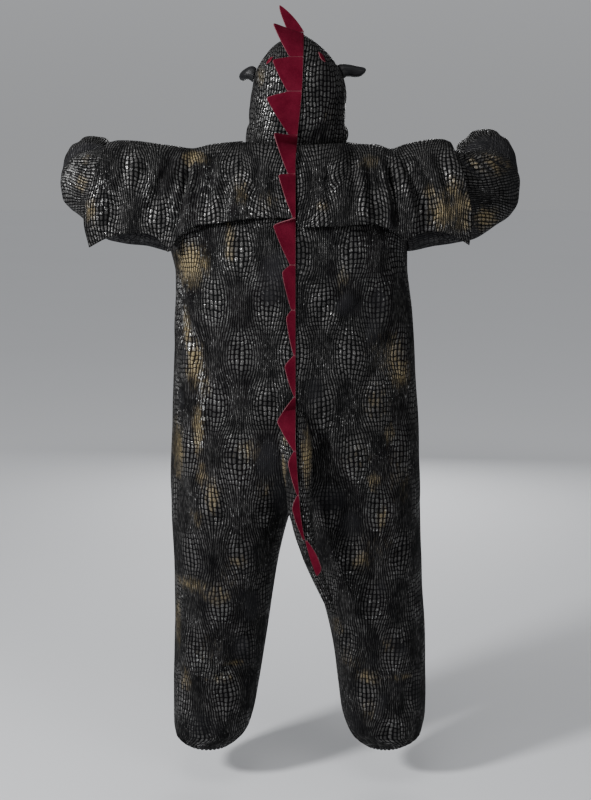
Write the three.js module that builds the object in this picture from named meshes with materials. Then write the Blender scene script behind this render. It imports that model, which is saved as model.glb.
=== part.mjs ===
// Dragon onesie, worn, arms out to the sides and bent forward at the elbow.
// Millimetres, +Z up, the back faces -Y, the origin lies on the shoulder line at the neck.
import * as THREE from "three";

// ---------------------------------------------------------------- driving sizes
const CLOTH = 2.5;            // wall of the embossed plush
const FELT = 2.4;             // wall of the felt spines and eyes
const SEAM_GAP = 0.3;         // space left between two pieces at a seam
const UNDERARM_Z = -245;      // height of the underarm point
const CROTCH_Z = -838;        // height of the crotch point
const SEAT_Z = -640;          // where the seat seam starts to turn in
const NECK = { half: 112, back: 82, front: 92, backZ: -10, sideZ: -4, frontZ: -38 };
const NECK_SHARE = 0.4;       // share of the top edge taken by the neck
const ROUND_TORSO = 2.4;      // squareness of the torso section, 2 is an ellipse
const ROUND_LEG = 2.1;        // squareness of the leg section
const BODY_COLUMNS = 10;
const YOKE_ROWS = 5;
const SLEEVE_COLUMNS = 14;
const ELBOW_RADIUS = 105;     // radius of the elbow bend along the middle of the sleeve
const HORN_GAP = 1.3;         // space between the hood and the base of a horn
const SPIKE_LIFT = 2;         // space between the cloth and the felt spines
const BUTTON = { radius: 9, thick: 4 };

const COLOURS = {
  cloth: 0x25262b, wing: 0x2a2a2f, felt: 0x701024, horn: 0x0c0c0f, eye: 0xa01c30,
  placket: 0x1c1d21, button: 0x101013,
};

// side: -1 is the wearer's left, +1 the wearer's right
const SIDES = [
  { name: "left", sign: -1 },
  { name: "right", sign: 1 },
];

// half widths of torso and legs, and how deep they stand behind and before the side seam
const BODY_ROWS = [
  { z: -245, left: 286, right: 257, back: 150, front: 146 },
  { z: -290, left: 277, right: 258, back: 152, front: 150 },
  { z: -380, left: 278, right: 270, back: 152, front: 154 },
  { z: -500, left: 284, right: 278, back: 150, front: 158 },
  { z: -620, left: 288, right: 287, back: 154, front: 158 },
  { z: -740, left: 293, right: 293, back: 158, front: 152 },
  { z: -872, left: 296, right: 298, back: 148, front: 142 },
  { z: -1020, left: 290, right: 304, back: 128, front: 126 },
  { z: -1140, left: 292, right: 312, back: 116, front: 116 },
  { z: -1290, left: 297, right: 317, back: 107, front: 110 },
  { z: -1375, left: 299, right: 317, back: 102, front: 106 },
  { z: -1412, left: 296, right: 310, back: 92, front: 96 },
  { z: -1438, left: 285, right: 296, back: 72, front: 76 },
  { z: -1455, left: 263, right: 268, back: 52, front: 54 },
];

// inner edge of each leg, measured from the middle
const INSEAM_ROWS = [
  { z: -838, left: 1.6, right: 1.6 },
  { z: -872, left: 15, right: 13 },
  { z: -907, left: 25, right: 23 },
  { z: -977, left: 41, right: 42 },
  { z: -1063, left: 55, right: 62 },
  { z: -1140, left: 66, right: 81 },
  { z: -1206, left: 76, right: 94 },
  { z: -1294, left: 90, right: 105 },
  { z: -1375, left: 106, right: 117 },
  { z: -1412, left: 120, right: 131 },
  { z: -1438, left: 143, right: 150 },
  { z: -1455, left: 165, right: 172 },
];

// where the rows of the body panels lie below the underarm
const LEG_LEVELS = [
  -245, -320, -405, -490, -575, -655, -725, -775, -810, -837,
  -872, -925, -1000, -1095, -1195, -1295, -1375, -1417, -1440, -1455,
];
// the row at the crotch, where the leg of a panel starts as a node of its own
const CROTCH_ROW = 9;

// end of the shoulder seam and the underarm point, the armhole oval hangs between them
const ARMHOLE = {
  left: { topX: 238, topZ: -24, lowX: 286, deep: 80 },
  right: { topX: 219, topZ: -26, lowX: 257, deep: 80 },
};

// outward distance of the elbow bend for each side, the degrees it turns, how much higher
// the forearm puff stands than the elbow, and how full the elbow hangs
const SLEEVE = {
  left: { bend: 374, turn: 86, puff: -20, hang: 0.7 },
  right: { bend: 350, turn: 93, puff: -3, hang: 0.9 },
};

// sleeve sections, 'along' is measured from the start of the elbow bend
const SLEEVE_SECTIONS = [
  { along: -130, middle: -122, top: 104, low: 116, wide: 78 },
  { along: -60, middle: -120, top: 106, low: 114, wide: 78 },
  { along: -10, middle: -115, top: 105, low: 114, wide: 80 },
  { along: 28, middle: -112, top: 93, low: 112, wide: 81 },
  { along: 62, middle: -109, top: 88, low: 107, wide: 81 },
  { along: 105, middle: -105, top: 87, low: 98, wide: 79 },
  { along: 138, middle: -100, top: 80, low: 91, wide: 76 },
  { along: 157, middle: -94, top: 44, low: 88, wide: 71 },
  { along: 172, middle: -88, top: 71, low: 86, wide: 73 },
  { along: 195, middle: -78, top: 109, low: 84, wide: 76 },
  { along: 235, middle: -62, top: 102, low: 84, wide: 74 },
  { along: 272, middle: -50, top: 80, low: 74, wide: 65 },
  { along: 292, middle: -43, top: 54, low: 54, wide: 48 },
  { along: 301, middle: -40, top: 38, low: 38, wide: 36 },
];

// where the rings of a sleeve lie, closest at the crease and at the cuff
const SLEEVE_LEVELS = [
  -92, -55, -15, 25, 62, 95, 122, 142, 157, 171, 188, 210, 238, 262, 281, 293, 301,
];

// free lower edge of each wing from the middle of the back outwards
const WING_EDGE = {
  left: [
    { out: 4, z: -163 }, { out: 60, z: -162 }, { out: 118, z: -166 }, { out: 170, z: -174 },
    { out: 212, z: -179 }, { out: 243, z: -192 }, { out: 266, z: -212 }, { out: 285, z: -240 },
    { out: 306, z: -212 }, { out: 340, z: -198 }, { out: 385, z: -201 }, { out: 425, z: -211 },
    { out: 463, z: -231 },
  ],
  right: [
    { out: 4, z: -182 }, { out: 60, z: -181 }, { out: 108, z: -180 }, { out: 150, z: -176 },
    { out: 182, z: -179 }, { out: 208, z: -188 }, { out: 230, z: -199 }, { out: 248, z: -214 },
    { out: 268, z: -202 }, { out: 300, z: -195 }, { out: 335, z: -197 }, { out: 362, z: -209 },
    { out: 390, z: -226 },
  ],
};

// top line of each wing past the end of the shoulder seam
const WING_TOP = {
  left: [
    { out: 112, z: 4 }, { out: 148, z: 1 }, { out: 193, z: -4 }, { out: 235, z: -13 },
    { out: 273, z: -8 }, { out: 319, z: -2 }, { out: 366, z: 4 }, { out: 405, z: 5 },
    { out: 428, z: 0 },
  ],
  right: [
    { out: 112, z: 2 }, { out: 148, z: -3 }, { out: 190, z: -5 }, { out: 217, z: -14 },
    { out: 250, z: -4 }, { out: 285, z: 4 }, { out: 318, z: 8 }, { out: 338, z: 7 },
    { out: 352, z: 2 },
  ],
};

// how far the wings stand behind the shoulder line, and the height over which they reach it
const WING_DEPTH = [
  { out: 0, deep: 164, high: 236 },
  { out: 110, deep: 158, high: 230 },
  { out: 160, deep: 150, high: 225 },
  { out: 205, deep: 137, high: 205 },
  { out: 250, deep: 120, high: 165 },
  { out: 290, deep: 106, high: 128 },
  { out: 340, deep: 100, high: 112 },
  { out: 400, deep: 96, high: 104 },
  { out: 470, deep: 90, high: 100 },
];

// outer edge of the wings, how far it leans out on the way down
const WING_OUTER = [
  { down: 0, left: 428, right: 352 },
  { down: 0.18, left: 443, right: 367 },
  { down: 0.45, left: 459, right: 380 },
  { down: 0.75, left: 468, right: 388 },
  { down: 1, left: 463, right: 390 },
];

// hood sections up to the crown seam
const HOOD_ROWS = [
  { z: 0, left: 113, right: 114, back: 82, front: 92, turn: 177 },
  { z: 20, left: 112, right: 118, back: 96, front: 112, turn: 158 },
  { z: 44, left: 110, right: 109, back: 106, front: 130, turn: 143 },
  { z: 72, left: 109, right: 107, back: 115, front: 141, turn: 134 },
  { z: 101, left: 107, right: 107, back: 121, front: 146, turn: 131 },
  { z: 128, left: 103, right: 103, back: 123, front: 148, turn: 130 },
  { z: 155, left: 98, right: 94, back: 121, front: 146, turn: 130 },
  { z: 178, left: 87, right: 79, back: 115, front: 140, turn: 132 },
  { z: 198, left: 72, right: 62, back: 105, front: 130, turn: 137 },
  { z: 214, left: 56, right: 44, back: 94, front: 118, turn: 145 },
  { z: 227, left: 36, right: 25, back: 82, front: 108, turn: 157 },
  { z: 238, left: 0.2, right: 0.2, back: 66, front: 98, turn: 179 },
];
const HOOD_COLUMNS = 10;
const HOOD_LIFT = { back: 1.9, front: 3.4 };   // the hood's lower edge above the neck edge

// the centre-back line leans a little to the wearer's right on the hood and the tail
const SPINE_LINE = [
  { z: 245, x: 18 }, { z: 180, x: 17 }, { z: 110, x: 14 }, { z: 0, x: 3 }, { z: -40, x: 0 },
  { z: -640, x: 0 },
];

// tail sections, stuffed, hanging from the seat
const TAIL_ROWS = [
  { z: -590, x: 0, y: -161, wide: 10, deep: 5 },
  { z: -615, x: 0, y: -171, wide: 29, deep: 13 },
  { z: -650, x: 0, y: -182, wide: 37, deep: 21 },
  { z: -700, x: 3, y: -190, wide: 36, deep: 28 },
  { z: -760, x: 7, y: -192, wide: 31, deep: 28 },
  { z: -820, x: 12, y: -190, wide: 27, deep: 26 },
  { z: -880, x: 22, y: -187, wide: 22, deep: 22 },
  { z: -935, x: 37, y: -184, wide: 18, deep: 18 },
  { z: -985, x: 55, y: -182, wide: 15, deep: 15 },
  { z: -1028, x: 73, y: -181, wide: 12, deep: 12 },
  { z: -1055, x: 83, y: -181, wide: 8, deep: 8 },
  { z: -1064, x: 86, y: -181, wide: 3, deep: 3 },
];

// felt spines down the centre back: base from one height to the other, point at (x, z),
// 'notch' is the width left at the lower end, 'out' lifts the point off the surface
const SPIKES = [
  { from: 232, to: 185, x: -50, z: 257, notch: 31, out: 4 },
  { from: 183, to: 112, x: -51, z: 177, notch: 33, out: 4 },
  { from: 110, to: 18, x: -65, z: 98, notch: 20, out: 5 },
  { from: 16, to: -66, x: -48, z: 22, notch: 17, out: 6 },
  { from: -68, to: -161, x: -38, z: -68, notch: 6, out: 5 },
  { from: -163, to: -264, x: -50, z: -177, notch: 13, out: 7 },
  { from: -266, to: -364, x: -30, z: -281, notch: 10, out: 5 },
  { from: -366, to: -466, x: -21, z: -383, notch: 5, out: 4 },
  { from: -468, to: -560, x: -25, z: -491, notch: 4, out: 4 },
  { from: -562, to: -672, x: -42, z: -609, notch: 6, out: 5 },
  { from: -674, to: -770, x: -17, z: -697, notch: 5, out: 4 },
  { from: -772, to: -876, x: -8, z: -803, notch: 5, out: 4 },
  { from: -880, to: -963, x: 57, z: -938, notch: 4, out: 5 },
];

// the first spine stands on the crown seam: the two ends of its base and its point
const CROWN_SPIKE = {
  right: { x: 19, y: -50, z: 241.5 },
  left: { x: -15, y: -60, z: 237.5 },
  tip: { x: -35, y: -44, z: 299 },
};

// the horns: distance from the hood, how they rise, and their radius
const HORN_ROWS = [
  { length: 8, rise: -1, radius: 16 },
  { length: 18, rise: -4.5, radius: 15 },
  { length: 31, rise: -8, radius: 13.8 },
  { length: 43, rise: -9, radius: 11.8 },
  { length: 52, rise: -7.5, radius: 8.8 },
  { length: 57, rise: -5.5, radius: 4.6 },
];
const HORN_LENGTH = HORN_ROWS[HORN_ROWS.length - 1].length;
// where each horn and eye sits on the hood, how far the horn sweeps back and how far it droops
const HORNS = {
  left: { y: 8, z: 151, radius: 17, sweep: -74, droop: 1 },
  right: { y: 4, z: 158, radius: 17, sweep: 8, droop: 0 },
};
const EYES = {
  left: { y: -70, z: 178, length: 24, width: 11, tilt: 48 },
  right: { y: -92, z: 184, length: 30, width: 11, tilt: 66 },
};

// closure down the front: a plain placket with buttons
const PLACKET = { half: 16, wall: 2, low: -560 };
const BUTTON_LEVELS = [-95, -205, -315, -425, -530];

// the largest soft folds: a line on the panel, its half width and how far it stands out
const FOLDS = [
  { x1: -238, z1: -375, x2: -250, z2: -760, wide: 34, out: 9 },
  { x1: -196, z1: -420, x2: -212, z2: -700, wide: 30, out: -7 },
  { x1: 150, z1: -330, x2: 40, z2: -520, wide: 40, out: -8 },
  { x1: 215, z1: -430, x2: 90, z2: -660, wide: 44, out: -8 },
  { x1: 255, z1: -380, x2: 262, z2: -700, wide: 30, out: 6 },
  { x1: -100, z1: -905, x2: -190, z2: -1010, wide: 36, out: -9 },
  { x1: -120, z1: -1215, x2: -225, z2: -1335, wide: 34, out: -8 },
  { x1: 230, z1: -905, x2: 130, z2: -1030, wide: 38, out: -8 },
  { x1: 250, z1: -1180, x2: 160, z2: -1300, wide: 36, out: -7 },
];

// ---------------------------------------------------------------- small helpers
const group = new THREE.Group();
group.name = "dragon_onesie";

function material(colour) {
  return new THREE.MeshStandardMaterial({ color: colour, roughness: 0.75 });
}

function mix(a, b, share) {
  return a + (b - a) * share;
}

function clamp(value, low, high) {
  return Math.min(high, Math.max(low, value));
}

function ease(value) {
  const t = clamp(value, 0, 1);
  return t * t * (3 - 2 * t);
}

function radians(degrees) {
  return (degrees * Math.PI) / 180;
}

// smooth reading of one named column of a table along its key column
function read(rows, key, at, column) {
  const rising = rows[rows.length - 1][key] > rows[0][key];
  const sign = rising ? 1 : -1;
  const goal = at * sign;
  if (goal <= rows[0][key] * sign) return rows[0][column];
  const last = rows.length - 1;
  if (goal >= rows[last][key] * sign) return rows[last][column];
  let i = 0;
  while (goal > rows[i + 1][key] * sign) i += 1;
  const slope = (a, b) => (rows[b][column] - rows[a][column]) / (rows[b][key] - rows[a][key]);
  const here = slope(i, i + 1);
  const limit = (side) => (side * here <= 0 ? 0 : side);
  const before = i > 0 ? limit((slope(i - 1, i) + here) / 2) : here;
  const after = i < last - 1 ? limit((here + slope(i + 1, i + 2)) / 2) : here;
  const span = rows[i + 1][key] - rows[i][key];
  const t = (at - rows[i][key]) / span;
  const t2 = t * t;
  const t3 = t2 * t;
  return (
    (2 * t3 - 3 * t2 + 1) * rows[i][column] +
    (t3 - 2 * t2 + t) * span * before +
    (3 * t2 - 2 * t3) * rows[i + 1][column] +
    (t3 - t2) * span * after
  );
}

// a point at an even share of the length of a line given as a function of 0 to 1
function evenly(line, share, steps = 48) {
  const points = [];
  for (let i = 0; i <= steps; i += 1) points.push(line(i / steps));
  const lengths = [0];
  for (let i = 1; i <= steps; i += 1) lengths.push(lengths[i - 1] + points[i].distanceTo(points[i - 1]));
  const goal = clamp(share, 0, 1) * lengths[steps];
  let i = 0;
  while (i < steps - 1 && lengths[i + 1] < goal) i += 1;
  const piece = lengths[i + 1] - lengths[i] || 1;
  return points[i].clone().lerp(points[i + 1], (goal - lengths[i]) / piece);
}

// outward normal of a surface, 'facing' flips it
function normalAt(surface, u, v, facing) {
  const step = 0.012;
  const u0 = clamp(u - step, 0, 1);
  const u1 = clamp(u + step, 0, 1);
  const v0 = clamp(v - step, 0, 1);
  const v1 = clamp(v + step, 0, 1);
  const along = surface(u1, v).sub(surface(u0, v));
  const down = surface(u, v1).sub(surface(u, v0));
  return along.cross(down).normalize().multiplyScalar(facing);
}

function addMesh(name, points, faces, colour) {
  const place = new Float32Array(points.length * 3);
  points.forEach((p, i) => {
    place[3 * i] = p.x;
    place[3 * i + 1] = p.y;
    place[3 * i + 2] = p.z;
  });
  const geometry = new THREE.BufferGeometry();
  geometry.setAttribute("position", new THREE.BufferAttribute(place, 3));
  geometry.setIndex(faces);
  geometry.computeVertexNormals();
  const mesh = new THREE.Mesh(geometry, material(colour));
  mesh.name = name;
  group.add(mesh);
  return mesh;
}

// A sheet with a wall. 'surface' gives its middle layer over u and v from 0 to 1.
// closed: the sheet is a tube in u. gaps: how far each edge is drawn back from its seam.
function addSheet(name, surface, us, vs, options) {
  const { wall, colour, facing = 1, closed = false, gaps = {} } = options;
  const outer = [];
  const inner = [];
  const wide = closed ? us.length - 1 : us.length;
  const tall = vs.length;
  for (let j = 0; j < tall; j += 1) {
    for (let i = 0; i < wide; i += 1) {
      const u = us[i];
      const v = vs[j];
      const p = surface(u, v);
      const n = closed ? tubeNormal(surface, u, v, facing) : normalAt(surface, u, v, facing);
      if (!closed && i === 0) drawBack(p, surface(Math.min(u + 0.01, 1), v), gaps.start);
      if (!closed && i === wide - 1) drawBack(p, surface(u - 0.01, v), gaps.end);
      if (j === 0) drawBack(p, surface(u, v + 0.004), gaps.top);
      if (j === tall - 1) drawBack(p, surface(u, v - 0.004), gaps.low);
      outer.push(p.clone().addScaledVector(n, wall / 2));
      inner.push(p.clone().addScaledVector(n, -wall / 2));
    }
  }
  const points = outer.concat(inner);
  const half = outer.length;
  const faces = [];
  const at = (i, j) => j * wide + (closed ? i % wide : i);
  const quad = (a, b, c, d) => {
    const long = points[a].distanceTo(points[c]) > points[b].distanceTo(points[d]);
    const [p, q, r, t] = long ? [b, c, d, a] : [a, b, c, d];
    if (facing > 0) faces.push(p, q, r, p, r, t);
    else faces.push(p, r, q, p, t, r);
  };
  const across = closed ? wide : wide - 1;
  for (let j = 0; j < tall - 1; j += 1) {
    for (let i = 0; i < across; i += 1) {
      quad(at(i, j), at(i + 1, j), at(i + 1, j + 1), at(i, j + 1));
      quad(half + at(i, j), half + at(i, j + 1), half + at(i + 1, j + 1), half + at(i + 1, j));
    }
  }
  for (let i = 0; i < across; i += 1) {
    quad(at(i + 1, 0), at(i, 0), half + at(i, 0), half + at(i + 1, 0));
    const low = tall - 1;
    quad(at(i, low), at(i + 1, low), half + at(i + 1, low), half + at(i, low));
  }
  if (!closed) {
    for (let j = 0; j < tall - 1; j += 1) {
      quad(at(0, j), at(0, j + 1), half + at(0, j + 1), half + at(0, j));
      const end = wide - 1;
      quad(at(end, j + 1), at(end, j), half + at(end, j), half + at(end, j + 1));
    }
  }
  return addMesh(name, points, faces, colour);
}

function tubeNormal(surface, u, v, facing) {
  const step = 0.012;
  const along = surface((u + step) % 1, v).sub(surface((u - step + 1) % 1, v));
  const down = surface(u, clamp(v + step, 0, 1)).sub(surface(u, clamp(v - step, 0, 1)));
  return along.cross(down).normalize().multiplyScalar(facing);
}

function drawBack(point, towards, distance = 0) {
  if (distance === 0) return;
  const way = towards.sub(point).normalize();
  point.addScaledVector(way, distance);
}

// a solid through a row of rings with a point at each end
function addLoft(name, rings, colour) {
  const count = rings[0].length;
  const points = rings.flat();
  const faces = [];
  for (let j = 0; j < rings.length - 1; j += 1) {
    for (let i = 0; i < count; i += 1) {
      const a = j * count + i;
      const b = j * count + ((i + 1) % count);
      faces.push(a, b, b + count, a, b + count, a + count);
    }
  }
  const middle = (ring) => ring.reduce((sum, p) => sum.add(p), new THREE.Vector3()).divideScalar(count);
  const first = points.length;
  points.push(middle(rings[0]));
  points.push(middle(rings[rings.length - 1]));
  const start = (rings.length - 1) * count;
  for (let i = 0; i < count; i += 1) {
    const next = (i + 1) % count;
    faces.push(first, next, i);
    faces.push(first + 1, start + i, start + next);
  }
  return addMesh(name, points, faces, colour);
}

function steps(count) {
  return Array.from({ length: count + 1 }, (_, i) => i / count);
}

function foldAt(x, z, behind) {
  let out = 0;
  for (const fold of FOLDS) {
    const dx = fold.x2 - fold.x1;
    const dz = fold.z2 - fold.z1;
    const t = ((x - fold.x1) * dx + (z - fold.z1) * dz) / (dx * dx + dz * dz);
    const away = Math.hypot(x - fold.x1 - t * dx, z - fold.z1 - t * dz) / fold.wide;
    const ends = ease((t + 0.15) / 0.3) * ease((1.15 - t) / 0.3);
    out += fold.out * ends * Math.exp(-away * away);
  }
  return behind ? out : out * 0.8;
}

// ---------------------------------------------------------------- torso and legs
// the armhole oval: 0 at the shoulder, 180 at the underarm, behind for a back panel
function armhole(side, angle, way) {
  const hole = ARMHOLE[side.name];
  const drop = (1 - Math.cos(angle)) / 2;
  return new THREE.Vector3(
    side.sign * mix(hole.topX, hole.lowX, drop),
    way * hole.deep * Math.sin(angle),
    mix(hole.topZ, UNDERARM_Z, drop),
  );
}

// the top edge of a panel: quarter of the neck, then the shoulder seam
function topEdge(side, u, way) {
  if (u <= NECK_SHARE) {
    const angle = (u / NECK_SHARE) * (Math.PI / 2);
    const deep = way < 0 ? NECK.back : NECK.front;
    const low = way < 0 ? NECK.backZ : NECK.frontZ;
    const rise = Math.cos(angle) ** 2;
    return new THREE.Vector3(
      side.sign * NECK.half * Math.sin(angle),
      way * deep * Math.cos(angle),
      mix(NECK.sideZ, low, rise),
    );
  }
  const t = (u - NECK_SHARE) / (1 - NECK_SHARE);
  const hole = ARMHOLE[side.name];
  return new THREE.Vector3(
    side.sign * mix(NECK.half, hole.topX, t),
    0,
    mix(NECK.sideZ, hole.topZ, t),
  );
}

// one level section of a panel, from the centre or inseam to the side seam
function levelPoint(side, u, z, way) {
  const outside = read(BODY_ROWS, "z", z, side.name);
  const deep = read(BODY_ROWS, "z", z, way < 0 ? "back" : "front");
  const split = clamp((SEAT_Z - z) / (SEAT_Z - CROTCH_Z), 0, 1);
  const inside = z < CROTCH_Z ? read(INSEAM_ROWS, "z", z, side.name) : 1.6 * ease(split * 1.6);
  const middle = mix(inside, (inside + outside) / 2, split);
  const reach = outside - middle;
  const power = 2 / mix(ROUND_TORSO, ROUND_LEG, split);
  const startCos = clamp((middle - inside) / reach, 0, 1) ** (1 / power);
  const startAngle = Math.acos(startCos);
  const section = (t) => {
    const angle = mix(startAngle, Math.PI, t);
    const c = Math.cos(angle);
    const s = Math.max(Math.sin(angle), 0);
    const x = middle - reach * Math.sign(c) * Math.abs(c) ** power;
    return new THREE.Vector3(side.sign * x, way * deep * s ** power, z);
  };
  const p = evenly(section, u);
  const centre = Math.sin(Math.PI * clamp(u, 0.02, 0.98));
  const out = foldAt(p.x, p.z, way < 0) * Math.min(1, centre * 2.2);
  p.y += way * out;
  const hem = ease((-1395 - z) / 45);
  const pleat = Math.cos(Math.PI * BODY_COLUMNS * u) * 3.2 * hem * Math.min(1, centre * 4);
  p.y += way * pleat;
  p.x += side.sign * pleat * Math.sign(p.x * side.sign - middle) * Math.abs(Math.cos(Math.PI * u));
  return p;
}

function yokePoint(side, u, angle, way) {
  const top = topEdge(side, u, way);
  const low = levelPoint(side, u, UNDERARM_Z, way);
  const share = 1 - Math.cos(angle);
  const plain = (a, b) => new THREE.Vector3(
    mix(a.x, b.x, share),
    mix(a.y, b.y, Math.sin(angle)),
    mix(a.z, b.z, share),
  );
  const p = plain(top, low);
  const edge = plain(topEdge(side, 1, way), levelPoint(side, 1, UNDERARM_Z, way));
  const pull = ease((u - 0.45) / 0.55);
  return p.add(armhole(side, angle * 2, way).sub(edge).multiplyScalar(pull));
}

// rows 0 to 1: the yoke first, then the levels down to the hem
const YOKE_SHARE = YOKE_ROWS / (YOKE_ROWS + LEG_LEVELS.length - 1);
function levelAt(v) {
  const place = ((v - YOKE_SHARE) / (1 - YOKE_SHARE)) * (LEG_LEVELS.length - 1);
  const i = clamp(Math.floor(place), 0, LEG_LEVELS.length - 2);
  return mix(LEG_LEVELS[i], LEG_LEVELS[i + 1], clamp(place - i, 0, 1));
}

function panelPoint(side, u, v, way) {
  if (v <= YOKE_SHARE) return yokePoint(side, u, (v / YOKE_SHARE) * (Math.PI / 2), way);
  return levelPoint(side, u, levelAt(v), way);
}

for (const side of SIDES) {
  for (const [face, way] of [["back", -1], ["front", 1]]) {
    const surface = (u, v) => panelPoint(side, u, v, way);
    const facing = side.sign * way;
    const edge = SEAM_GAP / 2;
    const rows = steps(YOKE_ROWS + LEG_LEVELS.length - 1);
    const crotch = YOKE_ROWS + CROTCH_ROW;
    const columns = steps(BODY_COLUMNS);
    addSheet(`${face}_${side.name}`, surface, columns, rows.slice(0, crotch + 1), {
      wall: CLOTH, colour: COLOURS.cloth, facing, gaps: { start: edge, end: edge, top: edge, low: edge },
    });
    addSheet(`leg_${face}_${side.name}`, surface, columns, rows.slice(crotch), {
      wall: CLOTH, colour: COLOURS.cloth, facing, gaps: { start: edge, end: edge, top: edge },
    });
  }
}

// ---------------------------------------------------------------- sleeves
// middle line of a sleeve, with its heading, 'along' measured from the start of the bend
function sleeveFrame(side, along) {
  const { bend, turn, puff } = SLEEVE[side.name];
  const full = radians(turn);
  const turned = clamp(along / ELBOW_RADIUS, 0, full);
  const past = Math.max(0, along - full * ELBOW_RADIUS);
  const before = Math.min(0, along);
  const x = bend + before + ELBOW_RADIUS * Math.sin(turned) + past * Math.cos(full);
  const y = ELBOW_RADIUS * (1 - Math.cos(turned)) + past * Math.sin(full);
  const z = read(SLEEVE_SECTIONS, "along", along, "middle") + puff * 0.5 * ease((along - 120) / 60);
  return { centre: new THREE.Vector3(x, y, z), turned };
}

function sleevePoint(side, angle, along) {
  const { centre, turned } = sleeveFrame(side, along);
  const ahead = sleeveFrame(side, along + 4).centre;
  const behind = sleeveFrame(side, along - 4).centre;
  const heading = ahead.sub(behind).normalize();
  const outward = new THREE.Vector3(Math.sin(turned), -Math.cos(turned), 0);
  const upward = outward.clone().cross(heading).normalize();
  const { puff, hang } = SLEEVE[side.name];
  const top = read(SLEEVE_SECTIONS, "along", along, "top") + puff * 0.5 * ease((along - 150) / 40);
  const low = read(SLEEVE_SECTIONS, "along", along, "low") * mix(1, hang, ease((along - 40) / 70));
  const wide = read(SLEEVE_SECTIONS, "along", along, "wide");
  const c = Math.cos(angle);
  const s = Math.sin(angle);
  const high = (c > 0 ? top : low) * Math.sign(c) * Math.abs(c) ** 0.94;
  const cuff = ease((along - 255) / 40);
  const pleat = 1 + 0.07 * cuff * Math.cos((SLEEVE_COLUMNS / 2) * angle);
  const p = centre.addScaledVector(upward, high * pleat).addScaledVector(outward, wide * s * pleat);
  p.x *= side.sign;
  return p;
}

function sleeveAlong(side, v) {
  const hole = ARMHOLE[side.name];
  const start = (hole.topX + hole.lowX) / 2 - SLEEVE[side.name].bend;
  const levels = [start, ...SLEEVE_LEVELS.filter((level) => level > start + 25)];
  const place = v * (levels.length - 1);
  const i = clamp(Math.floor(place), 0, levels.length - 2);
  return { start, along: mix(levels[i], levels[i + 1], place - i), rows: levels.length - 1 };
}

function sleeveSurface(side, u, v) {
  const angle = u * 2 * Math.PI;
  const { start, along } = sleeveAlong(side, v);
  const p = sleevePoint(side, angle, along);
  const share = ease((along - start) / 75);
  const oval = armhole(side, angle <= Math.PI ? angle : 2 * Math.PI - angle, angle <= Math.PI ? -1 : 1);
  oval.x += side.sign * mix(1.3, 2.3, (1 - Math.cos(angle)) / 2);
  oval.x += side.sign * (along - start);
  return oval.lerp(p, share);
}

for (const side of SIDES) {
  const surface = (u, v) => sleeveSurface(side, u, v);
  const rows = sleeveAlong(side, 0).rows;
  addSheet(`sleeve_${side.name}`, surface, steps(SLEEVE_COLUMNS), steps(rows), {
    wall: CLOTH, colour: COLOURS.cloth, facing: -side.sign, closed: true,
  });
}

// ---------------------------------------------------------------- wings
function wingPoint(side, u, v) {
  const lowOut = WING_EDGE[side.name][WING_EDGE[side.name].length - 1].out;
  const neckTop = u < 0.24;
  const hole = NECK.half + 9;
  let topOut;
  let topY;
  let topZ;
  if (neckTop) {
    const angle = (u / 0.24) * (Math.PI / 2);
    topOut = hole * Math.sin(angle);
    topY = -(NECK.back + 8) * Math.cos(angle);
    topZ = mix(NECK.sideZ, NECK.backZ, Math.cos(angle) ** 2) + 5;
  } else {
    const t = (u - 0.24) / 0.76;
    topOut = mix(hole, WING_OUTER[0][side.name], t);
    topZ = read(WING_TOP[side.name], "out", topOut, "z");
    const past = Math.max(0, topOut - SLEEVE[side.name].bend);
    topY = 0.16 * past;
  }
  const lowX = mix(4, lowOut, u);
  const lowZ = read(WING_EDGE[side.name], "out", lowX, "z");
  const g = v ** 1.35;
  const outer = read(WING_OUTER, "down", g, side.name);
  const lean = (outer - mix(WING_OUTER[0][side.name], lowOut, g)) * ease((u - 0.7) / 0.3);
  const out = mix(topOut, lowX, ease(g * 1.15)) + lean;
  const z = mix(topZ, lowZ, g);
  const deep = read(WING_DEPTH, "out", out, "deep");
  const high = read(WING_DEPTH, "out", out, "high");
  const t = clamp((topZ - z) / high, 0, 1);
  const y = mix(topY, -deep, Math.sqrt(1 - (1 - t) ** 2));
  const wave = 3.5 * Math.sin(out / 17) * g * ease((out - 60) / 60);
  return new THREE.Vector3(side.sign * Math.max(out, 0.15), y - wave, z);
}

for (const side of SIDES) {
  const edge = WING_EDGE[side.name];
  const lowOut = edge[edge.length - 1].out;
  const tip = (edge[7].out - 4) / (lowOut - 4);
  const us = [];
  for (let i = 0; i <= 8; i += 1) us.push((tip * i) / 8);
  for (let i = 1; i <= 6; i += 1) us.push(tip + ((1 - tip) * i) / 6);
  addSheet(`wing_${side.name}`, (u, v) => wingPoint(side, u, v), us, steps(7), {
    wall: CLOTH, colour: COLOURS.wing, facing: -side.sign,
  });
}

// ---------------------------------------------------------------- hood
function spineX(z) {
  return read(SPINE_LINE, "z", z, "x");
}

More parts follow.
